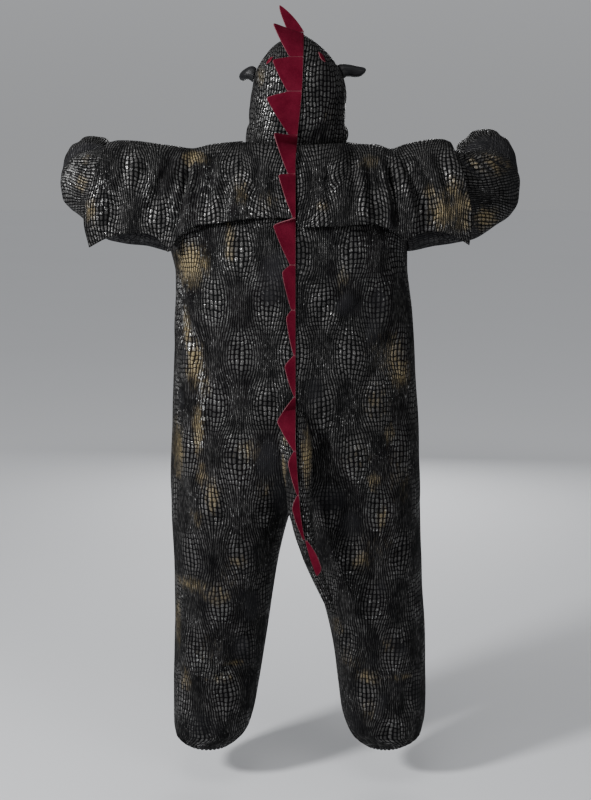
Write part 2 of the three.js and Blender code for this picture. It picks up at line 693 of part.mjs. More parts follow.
function hoodPoint(side, u, v) {
  const place = v * (HOOD_ROWS.length - 1);
  const rows = HOOD_ROWS.map((row, i) => ({ ...row, step: i }));
  const level = read(rows, "step", place, "z");
  const half = read(rows, "step", place, side.name);
  const back = read(rows, "step", place, "back");
  const front = read(rows, "step", place, "front");
  const turn = radians(read(rows, "step", place, "turn"));
  const seam = spineX(level) * ease(level / 40) * side.sign;
  const parting = 1.5 * ease((v - 0.55) / 0.35);
  const section = (t) => {
    const angle = t * turn;
    const c = Math.cos(angle);
    const deep = c > 0 ? back : front;
    const across = seam * Math.cos(angle / 2) ** 2 + half * Math.sin(angle) ** 0.96 + parting;
    return new THREE.Vector3(side.sign * across, -deep * c, 0);
  };
  const p = evenly(section, u);
  const forward = p.y < 0 ? Math.max(p.y / NECK.back, -1) : Math.min(p.y / NECK.front, 1);
  const low = forward < 0 ? NECK.backZ : NECK.frontZ;
  const lift = forward > 0 ? HOOD_LIFT.front : HOOD_LIFT.back;
  const neckZ = (mix(NECK.sideZ, low, forward * forward) + lift) * (1 - ease(v * 3.2));
  const ahead = clamp(p.y / 100, -1, 1.2);
  const crown = (ahead > 0 ? 26 : 9) * ahead * ahead * ease(v) ** 2;
  p.z = level + neckZ - crown;
  return p;
}

for (const side of SIDES) {
  const surface = (u, v) => hoodPoint(side, u, v);
  addSheet(`hood_${side.name}`, surface, steps(HOOD_COLUMNS), steps(HOOD_ROWS.length - 1), {
    wall: CLOTH, colour: COLOURS.cloth, facing: side.sign, gaps: { start: 0.15, low: 0.15 },
  });
}

// nearest point of the hood to a height and a depth, as u and v
function onHood(side, y, z) {
  let best = { u: 0.4, v: 0.5, miss: Infinity };
  for (let size = 0.5; size > 0.002; size *= 0.5) {
    const { u: u0, v: v0 } = best;
    for (let i = -4; i <= 4; i += 1) {
      for (let j = -4; j <= 4; j += 1) {
        const u = clamp(u0 + (i * size) / 4, 0, 1);
        const v = clamp(v0 + (j * size) / 4, 0, 1);
        const p = hoodPoint(side, u, v);
        const miss = Math.hypot(p.y - y, p.z - z);
        if (miss < best.miss) best = { u, v, miss };
      }
    }
  }
  return best;
}

// a point of the hood moved across, up and out from a place on it
function besideHood(side, place, across, up, out) {
  const surface = (u, v) => hoodPoint(side, u, v);
  const wide = surface(place.u + 0.02, place.v).distanceTo(surface(place.u - 0.02, place.v)) / 0.04;
  const tall = surface(place.u, place.v + 0.02).distanceTo(surface(place.u, place.v - 0.02)) / 0.04;
  const u = clamp(place.u + across / wide, 0.001, 0.999);
  const v = clamp(place.v + up / tall, 0.001, 0.999);
  return surface(u, v).addScaledVector(normalAt(surface, u, v, side.sign), out);
}

// ---------------------------------------------------------------- horns and eyes
for (const side of SIDES) {
  const spec = HORNS[side.name];
  const place = onHood(side, spec.y, spec.z);
  const count = 12;
  const base = [];
  for (let i = 0; i < count; i += 1) {
    const angle = (i / count) * 2 * Math.PI;
    const aside = -spec.radius * Math.cos(angle);
    base.push(besideHood(side, place, aside, spec.radius * Math.sin(angle), CLOTH / 2 + HORN_GAP));
  }
  const middle = besideHood(side, place, 0, 0, CLOTH / 2 + HORN_GAP);
  const away = middle.clone().sub(besideHood(side, place, 0, 0, 0)).normalize();
  const sweep = radians(spec.sweep);
  const swept = new THREE.Vector3(side.sign * Math.cos(sweep), -Math.sin(sweep), 0);
  const rings = [base];
  let reached = 0;
  for (const row of HORN_ROWS) {
    const heading = away.clone().lerp(swept, ease((row.length - 6) / 34)).normalize();
    middle.addScaledVector(heading, row.length - reached);
    reached = row.length;
    const level = new THREE.Vector3(0, 0, 1).cross(heading).normalize().multiplyScalar(-side.sign);
    const upward = level.clone().cross(heading).multiplyScalar(side.sign);
    rings.push(base.map((_, i) => {
      const angle = (i / count) * 2 * Math.PI;
      const p = middle.clone().addScaledVector(level, row.radius * Math.cos(angle));
      p.addScaledVector(upward, row.radius * Math.sin(angle));
      p.z += row.rise - spec.droop * (row.length / HORN_LENGTH) ** 2;
      return p;
    }));
  }
  if (side.sign > 0) rings.forEach((ring) => ring.reverse());
  addLoft(`horn_${side.name}`, rings, COLOURS.horn);
}

for (const side of SIDES) {
  const spec = EYES[side.name];
  const place = onHood(side, spec.y, spec.z);
  const tilt = radians(spec.tilt);
  const surface = (u, v) => {
    const along = (u - 0.5) * spec.length;
    const half = (spec.width / 2) * Math.max(0.08, Math.sin(Math.PI * u) ** 0.9);
    const aside = (v - 0.5) * 2 * half;
    const across = along * Math.cos(tilt) + aside * Math.sin(tilt);
    const up = -along * Math.sin(tilt) + aside * Math.cos(tilt);
    return besideHood(side, place, across, up, CLOTH / 2 + 0.4 + FELT / 2);
  };
  addSheet(`eye_${side.name}`, surface, steps(6), steps(2), {
    wall: FELT, colour: COLOURS.eye, facing: side.sign,
  });
}

// ---------------------------------------------------------------- tail
function tailAt(z, column) {
  return read(TAIL_ROWS, "z", z, column);
}

for (const side of SIDES) {
  const count = 6;
  const rings = TAIL_ROWS.map((row) => {
    const ring = [];
    for (let i = 0; i <= count; i += 1) {
      const angle = -Math.PI / 2 + (i / count) * Math.PI;
      ring.push(new THREE.Vector3(
        row.x + side.sign * (SEAM_GAP / 2 + row.wide * Math.cos(angle)),
        row.y + row.deep * Math.sin(angle),
        row.z,
      ));
    }
    return side.sign > 0 ? ring.reverse() : ring;
  });
  addLoft(`tail_${side.name}`, rings, COLOURS.cloth);
}

// ---------------------------------------------------------------- felt spines
const BACK_SIDE = SIDES[0];
const HOOD_LINE = steps(60).map((v) => hoodPoint(BACK_SIDE, 0, v));
const WING_LINE = steps(40).map((v) => wingPoint(BACK_SIDE, 0, v));

function lineY(points, z) {
  for (let i = 0; i < points.length - 1; i += 1) {
    const [a, b] = [points[i], points[i + 1]];
    if ((a.z - z) * (b.z - z) <= 0 && a.z !== b.z) return mix(a.y, b.y, (z - a.z) / (b.z - a.z));
  }
  return 0;
}

// the outermost cloth on the centre-back line at a height
function ridge(z) {
  const tail = z < TAIL_ROWS[0].z;
  const x = tail ? tailAt(z, "x") : spineX(z);
  let y = lineY(HOOD_LINE, z);
  y = Math.min(y, lineY(WING_LINE, z));
  if (z < -160) y = Math.min(y, levelPoint(BACK_SIDE, 0, Math.min(z, UNDERARM_Z), -1).y);
  if (z < 24 && z > -66) y -= 7 * Math.sin((Math.PI * (z + 66)) / 90);
  if (tail) y = Math.min(y, tailAt(z, "y") - tailAt(z, "deep"));
  return new THREE.Vector3(x, y - CLOTH / 2 - FELT / 2 - SPIKE_LIFT, z);
}

// outer edge of a spine from its upper end over its point to its lower end
function spikeEdge(spike, previous, t) {
  const side = spike.x > ridge(spike.z).x ? 1 : -1;
  const point = clamp((spike.from - spike.z) / (spike.from - spike.to), 0.06, 0.5);
  const tip = ridge((spike.from + spike.to) / 2);
  tip.set(spike.x, tip.y - spike.out, spike.z);
  const from = ridge(spike.from);
  from.x += side * previous;
  const to = ridge(spike.to);
  to.x += side * spike.notch;
  if (t <= point) return from.lerp(tip, t / point);
  return tip.lerp(to, (t - point) / (1 - point));
}

function spikePoint(index, u, v) {
  const spike = SPIKES[index];
  const previous = index > 0 ? SPIKES[index - 1].notch : 2 * SPIKES[0].notch;
  const base = ridge(mix(spike.from, spike.to, v));
  return base.lerp(spikeEdge(spike, Math.min(previous, SPIKES[0].notch), v), u);
}

function crownPoint(u, v) {
  const { right, left, tip } = CROWN_SPIKE;
  const start = new THREE.Vector3(right.x, right.y, right.z);
  const end = new THREE.Vector3(left.x, left.y, left.z);
  const base = start.clone().lerp(end, v);
  const middle = start.lerp(end, 0.5);
  const narrow = Math.max(0.05, (1 - u) ** 0.6);
  const centre = middle.clone().lerp(new THREE.Vector3(tip.x, tip.y, tip.z), u);
  return base.sub(middle).multiplyScalar(narrow).add(centre);
}

const SPIKE_GAP = { top: SEAM_GAP, low: SEAM_GAP };
addSheet("spike_01", crownPoint, steps(4), steps(2), {
  wall: FELT, colour: COLOURS.felt, facing: -1, gaps: SPIKE_GAP,
});
SPIKES.forEach((spike, index) => {
  const point = clamp((spike.from - spike.z) / (spike.from - spike.to), 0.06, 0.5);
  const levels = [0, point, (1 + point) / 2, 1];
  const name = `spike_${String(index + 2).padStart(2, "0")}`;
  addSheet(name, (u, v) => spikePoint(index, u, v), steps(2), levels, {
    wall: FELT, colour: COLOURS.felt, facing: -1, gaps: SPIKE_GAP,
  });
});

// ---------------------------------------------------------------- front closure
const PLACKET_END = (() => {
  let v = YOKE_SHARE;
  while (levelAt(v) > PLACKET.low) v += 0.002;
  return v;
})();

function placketPoint(u, v, out) {
  const across = (u - 0.5) * 2;
  const side = SIDES[across < 0 ? 0 : 1];
  const share = Math.abs(across) * (PLACKET.half / 400);
  const surface = (a, b) => panelPoint(side, a, b, 1);
  const down = mix(0.012, PLACKET_END, v);
  const p = surface(share, down);
  return p.addScaledVector(normalAt(surface, share, down, side.sign), out);
}

addSheet("placket", (u, v) => placketPoint(u, v, CLOTH / 2 + 0.6 + PLACKET.wall / 2), steps(2), steps(12), {
  wall: PLACKET.wall, colour: COLOURS.placket, facing: 1,
});

BUTTON_LEVELS.forEach((level, index) => {
  let v = 0;
  while (v < 1 && placketPoint(0.5, v, 0).z > level) v += 0.002;
  const foot = placketPoint(0.5, v, CLOTH / 2 + 0.6 + PLACKET.wall + 0.5);
  const head = placketPoint(0.5, v, CLOTH / 2 + 0.6 + PLACKET.wall + 0.5 + BUTTON.thick);
  const disc = new THREE.CylinderGeometry(BUTTON.radius, BUTTON.radius, BUTTON.thick, 16);
  const turn = new THREE.Quaternion().setFromUnitVectors(
    new THREE.Vector3(0, 1, 0),
    head.clone().sub(foot).normalize(),
  );
  disc.applyQuaternion(turn);
  const middle = foot.clone().add(head).multiplyScalar(0.5);
  disc.translate(middle.x, middle.y, middle.z);
  const button = new THREE.Mesh(disc, material(COLOURS.button));
  button.name = `button_${index + 1}`;
  group.add(button);
});

export default group;
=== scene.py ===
"""Dragon onesie: embossed plush, felt spines, horns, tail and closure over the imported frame.

Everything is in metres in the frame's own axes. The cut tables are in millimetres, as a maker
would write them down, and are turned into metres where a mesh is made.
"""

import math

import bmesh
import bpy
import numpy as np
from bpy.props import FloatProperty, FloatVectorProperty, PointerProperty
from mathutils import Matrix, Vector


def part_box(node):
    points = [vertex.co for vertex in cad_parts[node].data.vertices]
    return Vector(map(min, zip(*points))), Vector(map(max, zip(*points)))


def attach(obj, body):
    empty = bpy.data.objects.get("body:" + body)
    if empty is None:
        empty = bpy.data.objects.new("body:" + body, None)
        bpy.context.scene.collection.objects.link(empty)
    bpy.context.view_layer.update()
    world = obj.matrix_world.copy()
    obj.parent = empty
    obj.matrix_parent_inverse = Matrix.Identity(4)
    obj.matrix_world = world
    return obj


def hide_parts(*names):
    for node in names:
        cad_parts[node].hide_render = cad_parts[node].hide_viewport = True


bl_info = {
    "name": "Dragon Onesie",
    "version": (1, 0, 0),
    "blender": (4, 5, 0),
    "location": "View3D > Sidebar > Onesie",
    "description": "Builds the cloth, felt and trims of a dragon onesie over its packed frame",
    "category": "Add Mesh",
}

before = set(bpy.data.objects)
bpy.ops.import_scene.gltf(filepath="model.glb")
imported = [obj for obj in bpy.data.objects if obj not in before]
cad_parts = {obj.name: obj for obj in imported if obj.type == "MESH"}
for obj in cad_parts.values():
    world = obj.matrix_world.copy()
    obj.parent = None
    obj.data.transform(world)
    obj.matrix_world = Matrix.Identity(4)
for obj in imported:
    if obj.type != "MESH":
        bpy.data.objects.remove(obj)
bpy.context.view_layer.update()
MM = 0.001

# ------------------------------------------------------------------ the cut, in millimetres


def table(text):
    """A cut table: the names of its columns, then its rows, one to a line or parted by ';'."""
    names, *rows = (line.split() for line in text.replace(";", "\n").strip().splitlines())
    return {name: np.array([row[i] for row in rows], float) for i, name in enumerate(names)}


SIDES = {"left": -1, "right": 1}

# columns and rows of each grid; a body panel counts the rows of its yoke apart
GRID = {
    "back": (104, 34, 176), "front": (72, 28, 130), "sleeve": (120, 96), "wing": (150, 72), "hood": (84, 96),
    "crown": (10, 12), "spike": (12, 30), "eye": (20, 10), "horn": 32, "tail": (26, 120), "placket": (12, 90),
}
FORM_GRID = {"hood": (120, 160), "wing": (160, 80), "front": (8, 59, 99)}

# which stretch of the embossed roll a piece is cut from, and where its slow waves begin
ROLL_SPOT = {
    "back_left": 0.31, "back_right": 1.17, "front_left": 0.31, "front_right": 1.17, "sleeve_left": 2.23,
    "sleeve_right": 2.23, "wing_left": 3.41, "wing_right": 4.09, "hood_left": 5.03, "hood_right": 6.11,
    "tail": 7.7,
}
ROLL_START = {"sleeve": (0.4, 0.2), "wing": (0.9, 0), "hood": (1.7, 0), "tail": (2.6, 0)}
WAVE_START = {
    "back_left": 1.3, "back_right": 2.9, "front_left": 1.3, "front_right": 2.9, "sleeve_left": 0.7,
    "sleeve_right": 2.2, "wing_left": 0.4, "wing_right": 1.9, "hood_left": 0.9, "hood_right": 2.4,
}

# walls, gaps and seams
CLOTH = 2.5
FELT = 2.4
FELT_EDGE = 0.5
SEAM_GAP = 0.3
SEAM_DIP = 1.3
SEAM_REACH = 7
HOOD_PARTING = 0.1
EDGE_REACH = 0.2  # metres, as far as a vertex notes its distance from an edge

# heights and forms of the body
UNDERARM_Z = -245
SEAT_Z = -640
CROTCH_Z = -838
CROTCH_X = 1.6
HEM_Z = -1455
SOLE_Z = -1545
HEM_ROWS = 16
HEM_ROWS_Z = -1384
SEAT_PASSES = 60
LINE_STEPS = 181  # points of a level line before it is shared out evenly
HEM_GATHERS = {"from": -1392, "over": 50, "deep": 3.0, "left": 17, "right": 18}
NECK = {"half": 112, "back": 82, "front": 92, "backZ": -10, "sideZ": -4, "frontZ": -38}
NECK_SHARE = 0.4
NAPE = {"low": -66, "high": 24, "out": 7}
ROUND_TORSO = 2.4
ROUND_LEG = 2.1
LIPS = 0.35  # the faint lips beside a crease, against its depth

# sleeves and wings
ELBOW_RADIUS = 105
CUFF = {"from": 252, "over": 42, "deep": 0.075, "pulls": 15}
WING_END = -160
WING_FLUTES = {"left": 1, "right": 1.16}
WING_WAVE = {"deep": 3.5, "pitch": 17}
WING_NECK = {"share": 0.24, "wider": 9, "back": 8, "up": 5}

# trims
SPIKE_LIFT = 2
SPIKE_END = 0.85
SPIKE_BULGE = 1.6
SPIKE_CURL = 2.2
CROWN_REACH = 5.5
LEAF = 2.4
EYE_GAP = 0.4
HORN_GAP = 1.3

BODY = table("""
z left right back front
-245 286 257 150 146
-290 277 258 152 150
-380 278 270 152 154
-500 284 278 150 158
-620 288 287 154 158
-740 293 293 158 152
-872 296 298 148 142
-1020 290 304 128 126
-1140 292 312 116 116
-1290 297 317 107 110
-1375 299 317 102 106
-1412 296 310 92 96
-1438 285 296 72 76
-1455 263 268 52 54
""")
INSEAM = table("""
z left right; -838 1.6 1.6; -872 15 13; -907 25 23; -977 41 42; -1063 55 62; -1140 66 81
-1206 76 94; -1294 90 105; -1375 106 117; -1412 120 131; -1438 143 150; -1455 165 172
""")
ARMHOLE = {
    "left": {"topX": 238, "topZ": -24, "lowX": 286, "deep": 80},
    "right": {"topX": 219, "topZ": -26, "lowX": 257, "deep": 80},
}
SLEEVE = {
    "left": {"bend": 374, "turn": 86, "puff": -20, "hang": 0.7},
    "right": {"bend": 350, "turn": 93, "puff": -3, "hang": 0.9},
}
SLEEVE_SECTIONS = table("""
along middle top low wide
-130 -122 104 116 78
-60 -120 106 114 78
-10 -115 105 114 80
28 -112 93 112 81
62 -109 88 107 81
105 -105 87 98 79
138 -100 80 91 76
157 -94 44 88 71
172 -88 71 86 73
195 -78 109 84 76
235 -62 102 84 74
272 -50 80 74 65
292 -43 54 54 48
301 -40 38 38 36
""")
WING_EDGE = {
    "left": table("""
out z; 4 -163; 60 -162; 118 -166; 170 -174; 212 -179; 243 -192; 266 -212; 285 -240; 306 -212
340 -198; 385 -201; 425 -211; 463 -231
"""),
    "right": table("""
out z; 4 -182; 60 -181; 108 -180; 150 -176; 182 -179; 208 -188; 230 -199; 248 -214; 268 -202
300 -195; 335 -197; 362 -209; 390 -226
"""),
}
WING_TOP = {
    "left": table("""
out z; 112 4; 148 1; 193 -4; 235 -13; 273 -8; 319 -2; 366 4; 405 5; 428 0
"""),
    "right": table("""
out z; 112 2; 148 -3; 190 -5; 217 -14; 250 -4; 285 4; 318 8; 338 7; 352 2
"""),
}
WING_DEPTH = table("""
out deep high; 0 164 236; 110 158 230; 160 150 225; 205 137 205; 250 120 165; 290 106 128
340 100 112; 400 96 104; 470 90 100
""")
WING_OUTER = table("""
down left right; 0 428 352; 0.18 443 367; 0.45 459 380; 0.75 468 388; 1 463 390
""")
HOOD = table("""
step z left right back front turn
0 0 113 114 82 92 177
1 20 112 118 96 112 158
2 44 110 109 106 130 143
3 72 109 107 115 141 134
4 101 107 107 121 146 131
5 128 103 103 123 148 130
6 155 98 94 121 146 130
7 178 87 79 115 140 132
8 198 72 62 105 130 137
9 214 56 44 94 118 145
10 227 36 25 82 108 157
11 238 0.2 0.2 66 98 179
""")
HOOD_LIFT = {"back": 1.9, "front": 3.4}
HOOD_DROP = {"back": 9, "front": 26}
SPINE_LINE = table("""
z x; 245 18; 180 17; 110 14; 0 3; -40 0; -640 0
""")
TAIL = table("""
z x y wide deep
-590 0 -161 10 5
-615 0 -171 29 13
-650 0 -182 37 21
-700 3 -190 36 28
-760 7 -192 31 28
-820 12 -190 27 26
-880 22 -187 22 22
-935 37 -184 18 18
-985 55 -182 15 15
-1028 73 -181 12 12
-1055 83 -181 8 8
-1064 86 -181 3 3
""")
SPIKES = table("""
top low x z notch out
232 185 -50 257 31 4
183 112 -51 177 33 4
110 18 -65 98 20 5
16 -66 -48 22 17 6
-68 -161 -38 -68 6 5
-163 -264 -50 -177 13 7
-266 -364 -30 -281 10 5
-366 -466 -21 -383 5 4
-468 -560 -25 -491 4 4
-562 -672 -42 -609 6 5
-674 -770 -17 -697 5 4
-772 -876 -8 -803 5 4
-880 -963 57 -938 4 5
""")
CROWN_SPIKE = {"right": (19, -50, 241.5), "left": (-15, -60, 237.5), "tip": (-35, -44, 299)}
HORN_ROWS = table("""
length rise radius; 8 -1 16; 18 -4.5 15; 31 -8 13.8; 43 -9 11.8; 52 -7.5 8.8; 57 -5.5 4.6
""")
HORNS = {
    "left": {"y": 8, "z": 151, "radius": 17, "sweep": -74, "droop": 1, "lift": 6, "taper": 0.28},
    "right": {"y": 4, "z": 158, "radius": 17, "sweep": 8, "droop": 0, "lift": 0, "taper": 0},
}
EYES = {
    "left": {"y": -70, "z": 178, "length": 24, "width": 11, "tilt": 48},
    "right": {"y": -92, "z": 184, "length": 30, "width": 11, "tilt": 66},
}
FRONT_WIDE = 400
PLACKET = {"half": 16, "wall": 2, "gap": 0.6, "low": -560, "strip": -620, "top": 0.035}
BUTTON = {"radius": 9, "thick": 4}
BUTTON_PROFILE = (
    (0, 0.25), (0.55, 0.25), (0.68, 0.55), (0.86, 1.0), (0.97, 0.7),
    (1.0, 0.0), (0.94, -0.7), (0.8, -1.0), (0, -1.0),
)
BUTTON_LEVELS = (-95, -205, -315, -425, -530)

# the largest soft folds, which the frame has too: a line, its half width, how far it stands out
FOLDS = table("""
x1 z1 x2 z2 wide out
-238 -375 -250 -760 34 9
-196 -420 -212 -700 30 -7
150 -330 40 -520 40 -8
215 -430 90 -660 44 -8
255 -380 262 -700 30 6
-100 -905 -190 -1010 36 -9
-120 -1215 -225 -1335 34 -8
230 -905 130 -1030 38 -8
250 -1180 160 -1300 36 -7
""")

# smaller creases on the back: a bowed line from one end to the other, half width, depth outwards
BACK_CREASES = table("""
x1 z1 x2 z2 bow wide out
-262 -300 -232 -470 10 13 -5
-264 -330 -213 -540 6 7 6.5
-213 -510 -216 -720 -4 7 5.5
-205 -290 -196 -410 5 14 -3.2
-150 -250 -142 -420 -6 16 -2.6
-98 -300 -118 -520 8 18 -2.4
-168 -430 -150 -640 -9 15 -3
-270 -640 -262 -840 5 12 -3.6
-118 -600 -84 -790 10 17 -3
-176 -700 -160 -880 -8 14 -2.6
-70 -820 -128 -905 -6 14 -3.4
-60 -880 -150 -985 9 12 3
-238 -870 -226 -1060 7 15 -3
-120 -1040 -175 -1140 -7 14 -3.4
-262 -1060 -270 -1260 -6 12 3.2
-110 -1120 -150 -1215 5 12 -2.6
-105 -1195 -205 -1275 10 9 -4.4
-112 -1218 -208 -1300 9 9 3.8
-250 -1240 -246 -1390 -5 13 -3.4
-195 -1290 -200 -1400 4 11 -3
-150 -1320 -168 -1410 -3 9 -2.8
148 -292 42 -398 12 15 -5.4
176 -312 60 -440 14 13 3.4
196 -330 112 -470 -14 17 -5
236 -280 226 -420 -6 13 -3.6
210 -470 150 -610 12 15 -3.6
88 -430 58 -600 -8 18 -2.6
250 -520 244 -700 6 12 -3.2
150 -600 110 -790 9 16 -3
210 -690 196 -860 -7 14 -3
66 -700 60 -850 4 14 -2.6
104 -850 176 -930 -7 15 -3.6
240 -860 262 -1030 8 14 -3.2
84 -920 160 -1020 9 12 3
150 -1030 190 -1150 -8 15 -3.2
270 -1060 282 -1220 5 12 3
130 -1120 118 -1230 -5 12 -2.6
150 -1210 196 -1330 8 12 -4.2
182 -1216 226 -1330 8 10 3.4
262 -1250 250 -1390 -5 12 -3.2
140 -1310 176 -1410 4 9 -3
218 -1340 222 -1420 -3 8 -2.8
""")

# creases on the hidden front, of the same kind
FRONT_CREASES = table("""
x1 z1 x2 z2 bow wide out
-214 -150 -150 -260 8 16 -4
-250 -270 -196 -430 10 14 -4.4
-120 -190 -96 -380 -6 18 -2.8
-70 -420 -112 -600 8 17 -2.8
-206 -480 -190 -700 -8 15 -3.6
-258 -560 -250 -760 5 13 3.4
-60 -690 -150 -800 -9 16 -3.8
-48 -800 -160 -890 10 14 -4.2
-230 -840 -218 -1020 7 14 -3
-110 -960 -176 -1060 -8 15 -3.4
-240 -1090 -150 -1180 9 13 -4
-250 -1230 -244 -1390 -5 12 -3.2
-150 -1260 -178 -1400 4 11 -3
206 -140 158 -268 -8 16 -3.8
238 -290 170 -440 -12 15 -4.4
110 -220 120 -400 7 18 -2.6
96 -480 60 -640 -7 16 -2.8
214 -500 236 -720 8 14 -3.4
60 -700 170 -790 9 15 -3.8
52 -812 150 -892 -8 13 -4
246 -850 238 -1010 -6 13 -3
126 -980 190 -1080 8 14 -3.2
262 -1120 170 -1200 -9 13 -3.8
268 -1240 258 -1390 5 12 -3
160 -1250 188 -1405 -4 11 -3
""")

# creases round a sleeve: the angle from the top over the back, and the distance along
SLEEVE_CREASES = table("""
x1 z1 x2 z2 bow wide out
60 -120 84 10 6 9 -5
128 -128 118 34 -5 10 -4.4
158 -120 140 60 6 9 -5.6
182 -118 168 40 -5 8 -4.6
206 -120 214 50 5 9 -5.2
262 -110 246 40 -6 11 -4.4
312 -110 300 30 6 11 -4
250 30 262 150 5 10 -6.4
282 40 284 160 -4 9 -6
112 60 96 150 -4 10 -3.6
150 80 152 176 4 9 -4
196 90 200 200 -4 9 -4.2
70 185 76 280 3 8 -3.6
128 190 122 285 -3 8 -3.4
22 190 30 280 3 8 -3.4
330 190 322 280 -3 8 -3.6
176 200 178 290 2 8 -3.2
232 200 226 290 -2 8 -3.4
286 200 290 290 2 8 -3.2
""")

# pleats where the sleeve folds over the elbow
ELBOW_PLEATS = {
    "left": table("""
x1 z1 x2 z2 bow wide out
36 60 54 130 3 5 -3.6
62 70 78 140 3 6 -3
92 66 100 136 -3 6 -3.2
"""),
    "right": table("x1 z1 x2 z2 bow wide out; 26 16 76 50 3 6 -8.5; 14 38 68 70 3 6 -9; 6 62 62 94 3 6 -8"),
}

# soft flutes of a wing: distance out from the middle and height
WING_CREASES = table("""
x1 z1 x2 z2 bow wide out
86 -34 96 -170 5 13 -4.2
140 -22 156 -165 -5 12 -4.8
186 -22 208 -172 6 11 -5.2
214 -30 246 -190 -6 9 5
236 -24 274 -205 7 10 -6.4
252 -20 312 -190 -8 10 4.6
278 -16 344 -180 7 12 -4.4
330 -10 392 -150 -6 12 3.6
372 -20 420 -190 5 12 -3.8
44 -60 48 -160 -3 14 -3
""")

# soft folds of the hood: the arc round from the centre seam and the height
HOOD_CREASES = table("""
x1 z1 x2 z2 bow wide out
40 0 44 40 2 6 -1.6
66 0 64 52 -2 7 -1.9
92 0 96 44 2 6 -1.5
118 0 122 60 -3 8 -1.9
150 0 148 46 2 7 -1.6
186 0 192 54 3 8 -1.8
64 64 130 112 -6 12 -1.8
130 160 170 60 8 12 -2.4
46 205 90 150 -5 12 -2
150 40 230 78 6 10 -3
""")

# discoloured foil in soft patches, some of them painted highlight along lit ridges and pleats: where they sit,
# how far they reach, and how strong
GOLD_AND_HIGHLIGHT_BODY = table("""
x z wide tall share
-236 -270 30 46 1
-204 -262 16 34 0.6
-146 -215 13 52 0.55
-248 -415 10 46 0.85
-228 -492 20 50 0.85
-206 -540 16 34 0.5
-222 -640 13 54 0.95
-214 -745 16 34 0.5
-272 -700 15 64 0.75
-104 -684 28 24 0.5
-190 -794 17 40 0.6
-69 -777 22 24 0.35
-227 -852 17 26 0.45
-134 -952 22 16 0.45
-240 -1018 40 18 0.7
-186 -1040 40 24 0.5
-280 -1130 9 70 0.6
-262 -1260 14 40 0.45
-146 -1214 22 8 0.7
-178 -1250 50 14 0.35
204 -464 60 60 0.26
183 -580 50 60 0.26
231 -748 40 80 0.24
-105 -693 50 40 0.26
140 -700 50 60 0.2
186 -914 60 60 0.22
130 -1210 40 50 0.26
-200 -1180 60 60 0.2
-150 -1000 50 60 0.2
106 -300 16 34 0.35
240 -520 20 34 0.8
222 -476 30 52 0.5
214 -655 18 36 0.4
178 -755 15 26 0.55
199 -846 13 28 0.6
151 -949 24 26 0.6
252 -780 16 60 0.3
99 -1133 18 30 0.35
217 -1164 22 24 0.35
171 -1248 30 20 0.6
250 -1250 34 9 0.45
176 -1340 26 34 0.3
""")
GOLD_FRONT = table("""
x z wide tall share
-205 -210 26 44 0.6
-120 -330 20 46 0.4
-226 -520 20 70 0.8
-96 -640 26 30 0.5
-180 -800 22 40 0.6
-230 -1010 40 24 0.6
-150 -1220 34 18 0.6
186 -260 26 40 0.7
96 -420 20 34 0.4
228 -560 20 46 0.7
120 -730 22 30 0.5
210 -900 22 34 0.6
130 -1080 24 30 0.5
220 -1260 30 20 0.6
""")
GOLD_WING = table("""
x z wide tall share
-227 -34 26 15 0.9
-121 -107 20 36 0.45
-61 -122 24 20 0.35
163 -41 22 16 0.55
59 -138 15 16 0.45
330 -150 34 40 0.7
352 -100 20 30 0.5
372 -140 26 34 0.7
300 -108 16 18 0.55
370 -178 30 18 0.5
-458 -150 12 30 0.6
""")
GOLD_AND_HIGHLIGHT_SLEEVE = table("""
x z wide tall share
-484 -90 20 20 0.5
-478 -36 12 18 0.4
452 -46 34 30 0.55
492 -44 24 20 0.55
400 -48 16 20 0.6
430 -168 32 26 0.7
300 -180 30 20 0.4
-330 -170 30 20 0.5
""")
GOLD_HOOD = table("x z wide tall share; -76 146 10 24 0.5; 70 60 14 18 0.25; -50 40 14 14 0.2")
GOLD_TAIL = table("x z wide tall share; 25 -690 12 54 0.9; -22 -640 9 26 0.6; -26 -720 6 40 0.7")

# painted highlight: foil made brighter and more glinting in patches of the same kind, mostly on the left where
# the lamps light the cloth
PAINTED_HIGHLIGHT_BODY = table("""
x z wide tall share
-262 -330 18 50 0.7
-254 -404 9 44 1.3
-237 -454 9 40 1.3
-215 -520 8 50 1.3
-210 -604 7 54 1.1
-215 -670 8 40 0.7
-268 -560 12 60 0.4
-150 -250 30 30 0.4
""")
PAINTED_HIGHLIGHT_WING = table("""
x z wide tall share
-436 -112 16 46 0.9
-410 -150 12 50 0.5
-372 -40 10 50 0.5
-330 -120 10 60 0.5
-278 -130 12 46 0.5
-190 -110 12 70 0.6
-150 -130 12 56 0.5
-96 -140 14 50 0.4
60 -100 30 60 0.2
""")
PAINTED_HIGHLIGHT_SLEEVE = table("x z wide tall share; -530 -64 34 46 1.7; -500 -20 30 26 0.9")
PAINTED_HIGHLIGHT_HOOD = table("x z wide tall share; -56 60 22 60 0.85; -84 130 14 46 0.45; -50 160 22 34 0.35")
NO_PATCH = table("x z wide tall share")

# where the emboss dies out and the pile shows smooth and dark, partly as painted shade: in the shadow of the
# tail, over the seat and in the folds of the torso
SMOOTH_AND_SHADE_BODY = table("""
x z wide tall share
-44 -272 34 52 0.9
-60 -330 20 26 0.7
-254 -480 10 40 0.9
-262 -566 14 30 0.6
-62 -700 32 46 1
-40 -800 24 60 0.8
-120 -860 24 20 0.5
-100 -1080 22 50 0.8
-126 -1160 26 40 0.9
-178 -1180 20 14 0.5
-150 -1270 16 40 0.5
110 -350 30 46 0.8
66 -420 34 30 0.8
186 -330 20 40 0.8
170 -420 20 44 0.7
44 -560 20 60 0.6
84 -800 34 50 0.8
110 -690 30 34 0.6
262 -700 12 90 0.5
120 -860 34 40 0.8
200 -1010 24 34 0.6
200 -1320 28 54 0.8
250 -1190 28 30 0.7
""")

